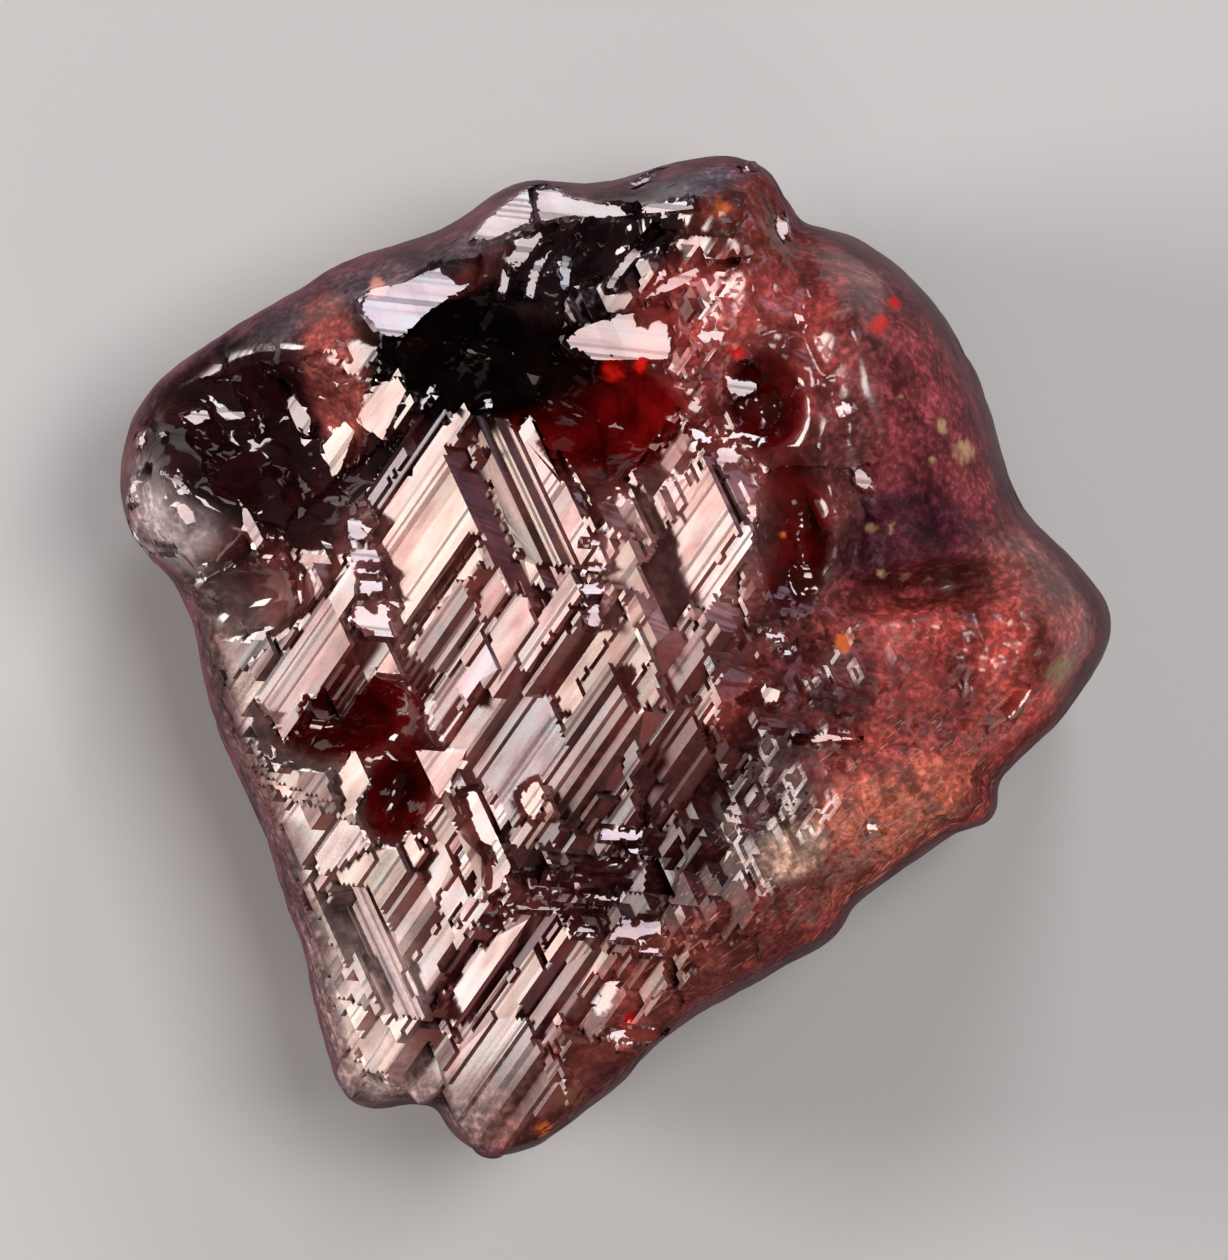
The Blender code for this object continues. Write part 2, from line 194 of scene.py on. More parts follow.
# Packets of narrow steps: middle, the long edge, the other side, lengths along both, how much of the
# first face family, widths of the steps in cells, lift, colour.
packets = {
    "slateSteps": (408, 456, 0, 2, 2.5, 0.6, 0.55, (1, 1, 2), 0.0, slate),
    "bandSteps": (522, 492, 2, 1, 3.3, 0.95, 0.50, (1, 2, 2, 3), 0.0, cream),
    "lowSteps": (436, 596, 0, 2, 2.8, 0.9, 0.78, (1, 1, 2), 0.0, cream),
    "whiteSteps": (443, 648, 0, 2, 2.1, 1.1, 0.5, (2, 2, 3), 0.0, white),
    "paleSteps": (604, 688, 0, 2, 2.5, 2.0, 0.82, (2, 3, 4), 0.05, cream),
    "pinkSteps": (660, 462, 0, 2, 1.9, 0.8, 0.82, (1, 2, 3), 0.0, pink),
    "threads": (352, 655, 0, 2, 1.8, 1.4, 0.28, (1, 1, 2, 3), -0.05, white),
    "longSteps": (500, 742, 0, 2, 3.1, 0.9, 0.66, (1, 2, 2, 3), 0.05, white),
    "rightSteps": (590, 748, 0, 2, 2.6, 1.5, 0.55, (1, 2, 2), 0.0, grey),
    "turnedSteps": (486, 838, 2, 1, 2.2, 0.9, 0.4, (1, 2, 3), 0.0, white),
    "striae": (378, 950, 2, 1, 2.9, 0.95, 0.90, (1, 1, 2), 0.0, mauve),
    "thinLines": (561, 992, 0, 2, 1.4, 0.75, 0.55, (1, 2), 0.0, white),
    "tailSteps": (500, 1085, 0, 2, 2.4, 2.0, 0.76, (1, 2, 2, 3), 0.0, white),
    "darkLevels": (606, 870, 1, 2, 2.6, 0.9, 0.55, (1, 1, 2), -0.05, lilac),
    "darkLow": (545, 915, 0, 2, 2.2, 1.0, 0.10, (1, 1, 2), -0.15, dim),
    "darkLeft": (517, 860, 1, 2, 1.3, 0.7, 0.12, (1, 1, 2), -0.1, dim),
    "darkHollow": (672, 768, 0, 2, 1.9, 1.3, 0.22, (1, 2, 3), -0.1, brown),
}

# Smooth faces that mirror one of the lights: outline in pixels, light, lift, colour.
glint, lilacGlint, greyGlint = ("cool", 0.1, white), ("cool", 0.1, lilac), ("cool", 0.05, grey)
mirrors = {
    "waveA": (((472, 241), (486, 222), (501, 209), (518, 196), (533, 187), (536, 222), (512, 233),
               (490, 243)), "cool", -0.1, white),
    "waveB": (((535, 187), (549, 185), (565, 198), (600, 206), (640, 208), (640, 217), (600, 221), (567, 219),
               (538, 226)), "cool", 0.0, white),
    "waveTail": (((641, 207), (697, 203), (699, 212), (652, 217), (641, 217)), "cool", 0.0, white),
    "arcA": (((497, 300), (503, 270), (520, 246), (527, 249), (512, 274), (506, 303)), *greyGlint),
    "arcB": (((524, 300), (531, 270), (548, 244), (555, 248), (541, 274), (534, 302)), *greyGlint),
    "arcC": (((560, 292), (560, 262), (574, 236), (582, 240), (571, 264), (570, 293)), "cool", 0.0, slate),
    "arcD": (((604, 290), (622, 262), (655, 228), (661, 233), (630, 268), (612, 293)), "cool", 0.0, grey),
    "arcE": (((640, 300), (664, 270), (668, 276), (648, 304)), "cool", 0.0, grey),
    "waveLow": (((505, 262), (520, 240), (560, 226), (540, 243), (528, 262), (515, 275)), "cool", 0.0, grey),
    "patch": (((358, 300), (372, 290), (405, 284), (440, 266), (486, 262), (478, 284), (450, 300), (425, 318),
               (405, 340), (384, 338), (366, 318)), "cool", 0.0, lilac),
    "triangle": (((547, 358), (578, 331), (606, 320), (668, 306), (676, 334), (668, 362), (600, 363)),
                 "cool", -0.15, pink),
    "ray": (((640, 304), (668, 281), (700, 268), (745, 262), (706, 275), (672, 293)), "cool", 0.0, grey),
    "bigFleck": (((724, 386), (731, 370), (744, 364), (757, 376), (756, 392), (742, 400), (729, 396)),
                 *glint),
    "topFleck": (((695, 338), (708, 331), (731, 333), (722, 343), (703, 347)), *glint),
    "lowFleck": (((713, 455), (722, 445), (739, 447), (735, 462), (724, 470), (716, 466)), *glint),
    "bar": (((718, 436), (740, 433), (768, 440), (765, 446), (738, 440), (720, 442)), *glint),
    "barLeft": (((684, 427), (698, 431), (716, 441), (708, 447), (694, 442)), *glint),
    "dot": (((744, 506), (755, 505), (756, 520), (746, 521)), *glint),
    "seamFleck": (((776, 218), (786, 219), (789, 238), (782, 243), (775, 232)), *glint),
    "seamDot": (((790, 317), (800, 314), (804, 323), (796, 328)), *glint),
    "seamLow": (((836, 405), (846, 404), (852, 414), (843, 420)), *glint),
    "seamPale": (((852, 472), (866, 465), (874, 478), (864, 492), (853, 486)), *greyGlint),
    "knobFleck": (((738, 172), (752, 160), (760, 162), (750, 172)), *glint),
    "shoulder": (((628, 186), (640, 176), (658, 168), (650, 182), (636, 190)), *greyGlint),
    "ladderA": (((348, 518), (361, 518), (371, 541), (349, 541)), "cool", 0.05, lilac),
    "ladderB": (((350, 548), (377, 548), (383, 563), (353, 563)), "cool", 0.05, lilac),
    "ladderC": (((357, 568), (383, 569), (383, 575), (358, 574)), "cool", 0.05, lilac),
    "ladderD": (((360, 580), (384, 581), (385, 594), (361, 594)), "cool", 0.05, lilac),
    "trapezoid": (((359, 600), (386, 600), (398, 638), (372, 636), (353, 620)), *glint),
    "rungA": (((582, 540), (603, 541), (602, 547), (582, 546)), *lilacGlint),
    "rungB": (((587, 566), (605, 567), (604, 573), (586, 572)), *lilacGlint),
    "rungC": (((583, 584), (606, 584), (605, 595), (583, 595)), *lilacGlint),
    "rungD": (((587, 606), (600, 606), (604, 618), (598, 628), (588, 626)), *lilacGlint),
    "flash": (((622, 917), (661, 917), (661, 938), (608, 938)), *lilacGlint),
    "flashStep": (((641, 942), (661, 942), (661, 951), (637, 950)), *lilacGlint),
    "flashLow": (((604, 1026), (655, 1026), (667, 1033), (651, 1040), (612, 1040)), *glint),
    "flashSmall": (((600, 826), (644, 828), (642, 839), (600, 839)), *lilacGlint),
    "flashTiny": (((625, 844), (643, 845), (640, 853), (630, 852)), *lilacGlint),
    "sideFlash": (((760, 629), (782, 634), (784, 643), (768, 640)), *lilacGlint),
    "sideFlashLow": (((772, 648), (791, 650), (792, 656), (775, 655)), *lilacGlint),
    "levelA": (((542, 867), (592, 871), (590, 876), (544, 873)), *greyGlint),
    "levelB": (((582, 891), (620, 895), (616, 900), (586, 898)), "cool", 0.05, white),
    "levelC": (((528, 883), (575, 886), (573, 890), (530, 888)), *greyGlint),
    "levelD": (((560, 905), (607, 907), (604, 911), (562, 910)), "cool", 0.05, white),
    "levelE": (((592, 858), (640, 860), (638, 864), (594, 862)), *greyGlint),
    "levelF": (((497, 903), (600, 906), (600, 910), (500, 908)), *greyGlint),
    "levelG": (((482, 918), (492, 914), (503, 920), (498, 928), (486, 927)), *glint),
    "levelH": (((500, 872), (540, 868), (540, 873), (502, 877)), *greyGlint),
    "levelI": (((566, 924), (598, 926), (596, 931), (570, 930)), *greyGlint),
    "noseArc": (((127, 503), (132, 482), (149, 467), (154, 471), (141, 485), (134, 504)), "cool", 0.0, grey),
    "noseTurn": (((160, 469), (180, 475), (193, 492), (188, 497), (176, 483), (160, 475)), "cool", 0.0, grey),
    "noseLow": (((129, 526), (150, 545), (176, 547), (176, 553), (147, 552), (124, 531)), "cool", 0.0, slate),
    "noseFleck": (((176, 500), (192, 506), (199, 522), (188, 526), (178, 514)), "warm", 0.0, grey),
    "sliver": (((613, 969), (616, 985), (603, 1010), (595, 1005)), "warm", 0.05, cream),
    "creamTriangle": (((414, 748), (467, 752), (440, 801)), "warm", 0.05, pink),
    "smallLozenge": (((519, 791), (538, 778), (547, 795), (535, 821), (522, 808)), "warm", 0.05, cream),
    "turnedStrip": (((460, 796), (474, 783), (513, 866), (501, 886), (489, 894), (491, 862)),
                    "warm", 0.12, white),
    "curve": (((561, 450), (573, 467), (599, 514), (600, 531), (590, 512), (570, 476)), "warm", 0.05, grey),
    "leftGlint": (((181, 416), (194, 410), (207, 409), (211, 419), (196, 426)), *glint),
    "leftDot": (((158, 433), (165, 430), (169, 436), (162, 439)), *glint),
    "leftEdge": (((136, 436), (143, 433), (147, 442), (139, 449)), "cool", 0.1, cream),
    "leftLong": (((256, 410), (262, 409), (266, 430), (260, 437)), "cool", 0.1, grey),
    "leftPane": (((281, 378), (291, 392), (312, 418), (310, 437), (298, 432), (288, 410)), "warm", 0.1, grey),
    "leftKite": (((322, 446), (345, 420), (356, 432), (340, 474), (332, 478)), "warm", 0.1, cream),
    "quad": (((374, 384), (400, 380), (408, 392), (384, 442), (368, 432), (356, 422)), "warm", 0.1, pink),
    "leftStreak": (((238, 498), (250, 510), (266, 540), (258, 550), (245, 528)), "warm", 0.1, grey),
    "smallStrip": (((440, 383), (424, 413), (417, 412), (431, 386)), *lilacGlint),
    "bowlFleck": (((483, 400), (492, 399), (495, 408), (487, 412)), *glint),
    "cornerFleck": (((1000, 708), (1012, 694), (1030, 688), (1024, 700), (1008, 718)), "warm", 0.1, cream),
    "crumbFleck": (((862, 820), (876, 824), (878, 832), (866, 832)), *glint),
    "crumbPale": (((735, 702), (762, 684), (780, 690), (776, 702)), "warm", 0.05, cream),
    "ledge": (((788, 739), (822, 732), (860, 738), (816, 742)), "warm", 0.05, pink),
    "glintA": (((306, 698), (313, 698), (306, 711), (300, 709)), *lilacGlint),
    "glintB": (((304, 717), (311, 716), (304, 730), (297, 728)), *lilacGlint),
}

# Zones of the upper side: middle in pixels, half length, half width, turn, and what the etching left there.
roughZones = {
    "lowerRight": (878, 750, 3.9, 2.3, 38, "crumbs"),
    "seamSide": (745, 300, 1.5, 2.6, 0, "crumbs"),
    "seamFoot": (820, 590, 1.3, 1.8, 0, "crumbs"),
    "foot": (700, 880, 2.4, 1.1, 15, "crumbs"),
    "leftSide": (255, 760, 4.6, 1.2, -64, "blocks"),
    "leftLobe": (375, 1040, 2.4, 1.6, -60, "blocks"),
    "lowerLeft": (340, 860, 2.8, 1.3, -65, "blocks"),
    "centre": (680, 650, 1.0, 0.8, 50, "blocks"),
}

# Tints laid over parts of the stone, its own colour mixed with painted shade and painted light: middle, half
# length, half width, turn, colour, cloud, frost.
tintsAndPaintedShading = {
    "leftSide": (262, 780, 5.2, 1.7, -64, (0.20, 0.115, 0.105), 0.6, 0.05),
    "leftLobe": (385, 1040, 2.4, 1.8, -40, (0.42, 0.28, 0.26), 0.75, 0.05),
    "nose": (166, 505, 1.1, 1.0, 0, (0.50, 0.38, 0.38), 0.97, 0.12),
    "dome": (913, 425, 5.0, 2.9, -62, (0.31, 0.060, 0.070), 0.97, 0.8),
    "domeEdge": (872, 256, 1.5, 0.8, -28, (0.24, 0.062, 0.078), 0.97, 0.9),
    "domeShade": (905, 545, 1.5, 1.0, -10, (0.09, 0.018, 0.032), 0.95, 0.6),
    "corner": (1043, 640, 2.2, 1.9, 40, (0.34, 0.115, 0.105), 0.95, 0.5),
    # The orange of the lower right is partly its cloudy colour and partly painted light shining through the
    # stone; lowerGlow is a painted glow.
    "lowerRight": (868, 770, 4.2, 2.6, 38, (0.52, 0.080, 0.066), 0.97, 0.3),
    "lowerGlow": (850, 838, 2.3, 0.9, 30, (0.72, 0.18, 0.11), 0.97, 0.3),
    "rightShade": (805, 700, 1.3, 1.0, 40, (0.15, 0.022, 0.022), 0.95, 0.2),
    "lowerEdge": (690, 955, 3.2, 1.2, 35, (0.27, 0.054, 0.042), 0.85, 0.4),
    "seam": (815, 420, 1.0, 4.4, -8, (0.26, 0.065, 0.065), 0.85, 0.3),
    "upperRight": (735, 330, 1.9, 2.4, 0, (0.42, 0.070, 0.062), 0.9, 0.15),
    "knob": (728, 210, 1.5, 1.2, 0, (0.25, 0.045, 0.035), 0.8, 0.15),
    "topEdge": (400, 265, 4.4, 0.6, 26, (0.125, 0.072, 0.088), 0.9, 0.65),
    "topEdgeRight": (640, 190, 1.8, 0.4, 8, (0.17, 0.13, 0.17), 0.9, 0.65),
    # Deep red patches in the windows: painted light seen through the stone.
    "window": (594, 412, 1.8, 1.05, -12, (0.17, 0.003, 0.003), 0.8, 0.0),
    "sideWindow": (765, 405, 0.7, 0.9, 0, (0.10, 0.003, 0.003), 0.8, 0.0),
    "rightWindow": (790, 535, 0.7, 1.4, 0, (0.12, 0.003, 0.003), 0.8, 0.0),
    "middleWindow": (625, 590, 0.5, 0.9, 0, (0.14, 0.004, 0.004), 0.8, 0.0),
    # Near-black tints in the bowl, the rippled wave and the basin: painted shade.
    "bowl": (490, 355, 2.7, 1.25, 12, (0.006, 0.002, 0.002), 0.85, 0.0),
    "ripples": (590, 255, 1.9, 0.9, 25, (0.030, 0.014, 0.016), 0.8, 0.0),
    "basin": (270, 440, 3.0, 1.7, -25, (0.030, 0.006, 0.007), 0.8, 0.0),
    # Dark tint of the foot: painted shade on steps that face away from the lights.
    "foot": (665, 835, 3.0, 1.5, 25, (0.070, 0.014, 0.014), 0.8, 0.25),
    "redStreak": (336, 370, 0.5, 1.4, 10, (0.40, 0.09, 0.075), 0.95, 0.2),
    # slabShade and ladderShade are lighter tints, painted light that lifts shaded gaps; bandShade darkens
    # unlit bands with painted shade.
    "slabShade": (678, 560, 1.8, 1.3, 55, (0.32, 0.13, 0.12), 0.85, 0.0),
    "ladderShade": (392, 585, 0.9, 1.6, 10, (0.26, 0.09, 0.085), 0.85, 0.02),
    "bandShade": (505, 985, 2.0, 1.2, 55, (0.10, 0.018, 0.020), 0.8, 0.0),
    # Deep red of the pit and the gap: painted light seen through the stone.
    "redPit": (350, 715, 1.3, 0.75, 10, (0.13, 0.003, 0.003), 0.8, 0.0),
    "gap": (400, 790, 0.6, 1.0, -20, (0.09, 0.002, 0.002), 0.8, 0.0),
    "paleTriangle": (790, 850, 0.62, 0.45, 30, (0.85, 0.50, 0.36), 0.97, 0.3),
}

# Coloured spots inside the stone: middle in pixels, radius, colour. The red and orange ones are painted glints
# of light; the amber ones are inclusions.
paintedRedGlint, paintedOrangeGlint, amber = (0.85, 0.015, 0.008), (0.95, 0.20, 0.04), (0.66, 0.40, 0.22)
spots = (
    (876, 326, 0.24, paintedRedGlint), (893, 304, 0.18, paintedRedGlint), (842, 642, 0.22, paintedOrangeGlint), (545, 1130, 0.22, paintedOrangeGlint),
    (592, 962, 0.22, paintedRedGlint), (628, 1020, 0.18, paintedRedGlint), (1080, 588, 0.14, paintedOrangeGlint), (1043, 604, 0.12, paintedOrangeGlint),
    (962, 452, 0.24, amber), (940, 428, 0.16, amber), (930, 462, 0.10, amber), (898, 400, 0.10, amber),
    (880, 574, 0.12, amber), (902, 576, 0.13, amber), (926, 580, 0.10, amber), (944, 502, 0.10, amber),
    (940, 528, 0.08, amber), (890, 530, 0.12, amber), (868, 528, 0.12, amber),
    (1058, 672, 0.30, (0.42, 0.25, 0.08)), (378, 288, 0.22, (0.9, 0.35, 0.25)), (720, 212, 0.18, paintedOrangeGlint),
    (735, 355, 0.2, paintedRedGlint), (612, 372, 0.25, paintedRedGlint), (640, 368, 0.2, paintedRedGlint), (575, 1095, 0.3, (0.25, 0.09, 0.04)),
    (545, 618, 0.12, paintedRedGlint), (562, 604, 0.1, paintedRedGlint), (782, 535, 0.08, paintedOrangeGlint),
)


def spot(px, py):
    return (px - picture["middleX"]) * picture["pixel"], (picture["middleY"] - py) * picture["pixel"]


def along(x, y, turn, start):
    a = math.radians(turn)
    return (x - start[0]) * math.cos(a) + (y - start[1]) * math.sin(a)


def closedCurve(points, pieces):
    p = np.array(points)
    before, after, beyond = np.roll(p, 1, 0), np.roll(p, -1, 0), np.roll(p, -2, 0)
    t = np.linspace(0, 1, pieces, endpoint=False)[:, None, None]
    straight = 2 * p + (after - before) * t
    bend = (2 * before - 5 * p + 4 * after - beyond) * t**2 + (3 * p - before - 3 * after + beyond) * t**3
    return (0.5 * (straight + bend)).transpose(1, 0, 2).reshape(-1, 2)


def around(azimuth, angles, values):
    order = np.argsort(angles)
    angles, values = np.asarray(angles, float)[order], np.asarray(values, float)[order]
    angles = np.concatenate([angles - 360, angles, angles + 360])
    return np.interp(azimuth % 360, angles, np.tile(values, 3))


def outlineRadius(azimuth):
    curve = closedCurve(outline, 6)
    angles = np.degrees(np.arctan2(curve[:, 1], curve[:, 0])) % 360
    return around(azimuth, angles, np.hypot(curve[:, 0], curve[:, 1]))


def edgeDirections():
    dip = math.radians(stone["edgeDip"])
    flat, rise = math.cos(dip), math.sin(dip)
    turns = [math.radians(turn) for turn in stone["edgeTurns"]]
    return np.array([(-math.cos(t) * flat, -math.sin(t) * flat, rise) for t in turns])


def familyNormals():
    lean = math.radians(90 - math.degrees(math.acos(math.sqrt(1 / 3))))
    flat = -math.sin(lean)
    turns = [math.radians(turn) for turn in stone["edgeTurns"]]
    return np.array([(flat * math.cos(t), flat * math.sin(t), math.cos(lean)) for t in turns])


def planeHeight(x, y, normal, through):
    return through[2] - (normal[0] * (x - through[0]) + normal[1] * (y - through[1])) / normal[2]


def faceNormals():
    families = familyNormals()
    return [np.array(shares) @ families for shares in stone["faceShares"]]


def pyramid(x, y, apex):
    faces = [planeHeight(x, y, normal, apex) for normal in faceNormals()]
    return np.minimum.reduce(faces), np.argmin(faces, axis=0)


def bell(x, y, spec):
    cx, cy = spot(spec[0], spec[1])
    u = along(x, y, spec[4], (cx, cy)) / spec[2]
    v = along(x, y, spec[4] + 90, (cx, cy)) / spec[3]
    return np.clip(1 - (u * u + v * v) / 2.2, 0, 1) ** 2


def within(x, y, spec, steep=3):
    return np.clip(steep * bell(x, y, spec), 0, 1)


def pathDistance(x, y, path):
    nearest = np.full(np.shape(x), 1e9)
    points = [spot(*p) for p in path]
    for (ax, ay), (bx, by) in zip(points, points[1:]):
        dx, dy = bx - ax, by - ay
        t = np.clip(((x - ax) * dx + (y - ay) * dy) / (dx * dx + dy * dy), 0, 1)
        nearest = np.minimum(nearest, np.hypot(x - ax - t * dx, y - ay - t * dy))
    return nearest


def valueNoise(x, y, scale, seed):
    rng = np.random.default_rng(seed)
    table = rng.random((64, 64))
    u, v = x / scale + 31.7, y / scale + 17.3
    i, j = np.floor(u).astype(int), np.floor(v).astype(int)
    f, g = u - i, v - j
    f, g = f * f * (3 - 2 * f), g * g * (3 - 2 * g)
    a, b = table[i % 64, j % 64], table[(i + 1) % 64, j % 64]
    c, d = table[i % 64, (j + 1) % 64], table[(i + 1) % 64, (j + 1) % 64]
    return (a * (1 - f) + b * f) * (1 - g) + (c * (1 - f) + d * f) * g - 0.5


def scattered(x, y, seed):
    # The nearest of a jittered grid's points, as an id and a random number that belongs to it.
    rng = np.random.default_rng(seed)
    size = 128
    jitter = rng.random((3, size, size))
    i, j = np.floor(x).astype(int), np.floor(y).astype(int)
    best = np.full(x.shape, 1e9)
    ids = np.zeros(x.shape, int)
    for di in (-1, 0, 1):
        for dj in (-1, 0, 1):
            a, b = (i + di) % size, (j + dj) % size
            far = (i + di + jitter[0, a, b] - x) ** 2 + (j + dj + jitter[1, a, b] - y) ** 2
            closer = far < best
            best = np.where(closer, far, best)
            ids = np.where(closer, a * size + b, ids)
    return ids, jitter[2].ravel()[ids]


def crumbs(x, y, spacing, seed):
    # Overlapping lumps with nearly flat sides.
    rng = np.random.default_rng(seed)
    size = 64
    table = rng.random((5, size, size))
    u, v = x / spacing + 20, y / spacing + 20
    i, j = np.floor(u).astype(int), np.floor(v).astype(int)
    best = np.full(x.shape, -9.0)
    for di in (-2, -1, 0, 1, 2):
        for dj in (-2, -1, 0, 1, 2):
            a, b = (i + di) % size, (j + dj) % size
            du, dv = u - (i + di + table[0, a, b]), v - (j + dj + table[1, a, b])
            lean = (table[2, a, b] - 0.5) * du + (table[3, a, b] - 0.5) * dv
            best = np.maximum(best, table[4, a, b] + 1.3 * lean - 0.45 * (du * du + dv * dv))
    return best - 0.6


def makeRelief():
    half, step = stone["halfWidth"], stone["gridStep"]
    axis = np.arange(-half, half + step / 2, step)
    x, y = np.meshgrid(axis, axis, indexing="ij")
    azimuth = np.degrees(np.arctan2(y, x))
    inset = outlineRadius(azimuth) - np.hypot(x, y)
    angles = [row[0] for row in flanks]
    turning = around(azimuth, angles, [row[1] for row in flanks])
    girdle = stone["girdle"] + around(azimuth, angles, [row[2] for row in flanks])

    base, face = pyramid(x, y, stone["apex"])
    top, hillFace = base - stone["hillRoom"], face
    for px, py, rise in hills:
        hx, hy = spot(px, py)
        apexHeight = float(pyramid(np.array(hx), np.array(hy), stone["apex"])[0]) + rise
        hill, thisFace = pyramid(x, y, (hx, hy, apexHeight))
        hillFace = np.where(hill > top, thisFace, hillFace)
        top = np.maximum(top, hill)
    turn = stone["edgeTurns"][0]
    long, wide = stone["packetSize"]
    packet, rise = scattered(along(x, y, turn, (-40, -20)) / long, along(x, y, turn + 90, (40, 20)) / wide, 3)
    height, scale, seed = stone["unevenness"]
    top = top + stone["packetRise"] * (rise - 0.5) + height * valueNoise(x, y, scale, seed)
    glassy = np.zeros(x.shape)
    for spec in swells.values():
        height = bell(x, y, spec)
        top = top + spec[5] * height
        glassy = np.maximum(glassy, spec[6] * np.clip(4 * height, 0, 1))
    for px, py, reach, squash, turn, spacing, height in ripples.values():
        middle = spot(px, py)
        far = np.hypot(along(x, y, turn, middle), squash * along(x, y, turn + 90, middle))
        far = far + 0.35 * valueNoise(x, y, 0.8, 13)
        top = top + height * np.cos(2 * np.pi * far / spacing) * np.clip(2 - 2 * far / reach, 0, 1)
    seamFar = pathDistance(x, y, seam["path"])
    top = top - seam["depth"] * np.exp(-((seamFar / seam["width"]) ** 2))

    kind = np.full(x.shape, stepKind)
    rough = np.clip(1.5 - seamFar / 0.5, 0, 1)
    kind[rough > 0.3] = crumbKind
    for spec in roughZones.values():
        share = within(x, y, spec)
        zoneKind = crumbKind if spec[5] == "crumbs" else blockKind
        kind = np.where(share > 0.35, zoneKind, kind)
        if zoneKind == crumbKind:
            rough = np.maximum(rough, share)
        else:
            rough = rough * (1 - share)
    lumpy = sum(height * crumbs(x, y, spacing, seed) for height, spacing, seed in stone["lumps"])
    top = top + lumpy * rough
    hollow = within(x, y, swells["basin"], 2)
    waves = sum(height * valueNoise(x, y, scale, seed) for height, scale, seed in stone["basinWaves"])
    top = top + hollow * waves
    glassy = glassy * (1 - 0.8 * rough)
    kind = np.where(glassy > 0.5, glassKind, kind)

    power = stone["flankPower"]
    share = (1 - (1 - np.clip(inset / turning, 0, 1)) ** power) ** (1 / power)
    top = girdle + (top - girdle) * share

    # Single faces and packets of steps are cut at the height that the relief has in their middle.
    part = np.zeros(x.shape, int)
    fields = {"top": top, "kind": kind, "part": part, "glassy": glassy, "inset": inset}
    cuts = (packets, firstPacket, cutPacket), (plates, firstPlate, cutPlate), (mirrors, firstMirror, cutMirror)
    for specs, first, cut in cuts:
        for number, spec in enumerate(specs.values(), first):
            cut(x, y, fields, spec, number)
    top, kind, part, glassy = (fields[name] for name in ("top", "kind", "part", "glassy"))

    slope = math.tan(math.radians(stone["edgeDip"]))
    keels = [along(x, y, turn + 180, stone["keel"]) for turn in stone["edgeTurns"]]
    bottom = np.maximum.reduce([stone["keel"][2] + slope * keel for keel in keels])
    bottom = np.maximum(girdle + (bottom - girdle) * share, 0.0)
    top = np.minimum(top, stone["highest"])
    outside = inset <= 0
    top[outside], bottom[outside] = -99, 99
    loose = np.choose(kind, stone["loose"])
    for reach, most in stone["looseNearRim"]:
        loose = np.where(inset < reach, np.minimum(loose, most), loose)
    zone = kind * zonesOfKind + (packet % packetsOfKind) * 3 + hillFace
    zone = np.where(part > 0, backZone + part, zone)
    return {
        "x": x, "y": y, "top": top, "bottom": bottom, "zone": zone, "glassy": glassy, "inset": inset,
        "loose": loose, "packet": packet, "part": part, "kind": kind, "girdle": girdle,
    }


def skewed(x, y, middle, turns):
    # Distances along two slanting directions from a middle point.
    vectors = np.array([(math.cos(math.radians(t)), math.sin(math.radians(t))) for t in turns])
    back = np.linalg.inv(vectors.T)
    dx, dy = x - middle[0], y - middle[1]
    return back[0, 0] * dx + back[0, 1] * dy, back[1, 0] * dx + back[1, 1] * dy


def cutPlane(x, y, fields, inside, middle, normal, lift, kind, number, family=None):
    near = inside & (np.hypot(x - middle[0], y - middle[1]) < 0.5)
    height = float(fields["top"][near if near.any() else inside].mean()) + lift
    if family is not None:
        # A flat face of the lattice lies between two layers of cells.
        toCells = np.linalg.inv(edgeDirections().T * stone["cell"])[family]
        layer = toCells @ (*middle, height)
        height += float(round(layer) - layer) / toCells[2]
    plane = planeHeight(x, y, normal, (*middle, height))
    if kind == glassKind:
        most = stone["mostBuilt"] + 2.0 * np.clip(1 - fields["inset"] / 0.8, 0, 1)
        plane = np.clip(plane, fields["top"] - stone["mostCut"], fields["top"] + most)
    fields["top"] = np.where(inside, plane, fields["top"])
    fields["kind"] = np.where(inside, kind, fields["kind"])
    fields["part"] = np.where(inside, number, fields["part"])
    fields["glassy"] = np.where(inside, 1.0 if kind == glassKind else 0.0, fields["glassy"])


def cutPlate(x, y, fields, spec, number):
    px, py, family, first, second, lift = spec[:6]
    middle = spot(px, py)
    turns = [stone["edgeTurns"][k] for k in range(3) if k != family]
    u, v = skewed(x, y, middle, turns)
    inside = (np.abs(u) < first / 2) & (np.abs(v) < second / 2)
    cutPlane(x, y, fields, inside, middle, familyNormals()[family], lift, plateKind, number, family)


def cutPacket(x, y, fields, spec, number):
    px, py, edge, side, long, wide, share = spec[:7]
    middle = spot(px, py)
    u, v = skewed(x, y, middle, (stone["edgeTurns"][edge], stone["edgeTurns"][side]))
    inside = (np.abs(u) < long / 2) & (np.abs(v) < wide / 2)
    first, second = sorted((k for k in range(3) if k != edge), key=lambda k: k != 1)
    normals = familyNormals()
    normal = share * normals[first] + (1 - share) * normals[second]
    cutPlane(x, y, fields, inside, middle, normal, spec[8], packetKind, number)


def cutMirror(x, y, fields, spec, number):
    points = np.array([spot(*p) for p in spec[0]])
    inside = np.zeros(x.shape, bool)
    for (ax, ay), (bx, by) in zip(points, np.roll(points, -1, 0)):
        if ay != by:
            inside ^= ((ay > y) != (by > y)) & (x < (bx - ax) * (y - ay) / (by - ay) + ax)
    cutPlane(x, y, fields, inside, points.mean(0), mirrorNormal(spec[1]), spec[2], glassKind, number)


def look(relief, name, x, y):
    half, step = stone["halfWidth"], stone["gridStep"]
    size = relief[name].shape[0]
    i = np.clip(np.rint((x + half) / step), 0, size - 1).astype(np.int32)
    j = np.clip(np.rint((y + half) / step), 0, size - 1).astype(np.int32)
    return relief[name][i, j]


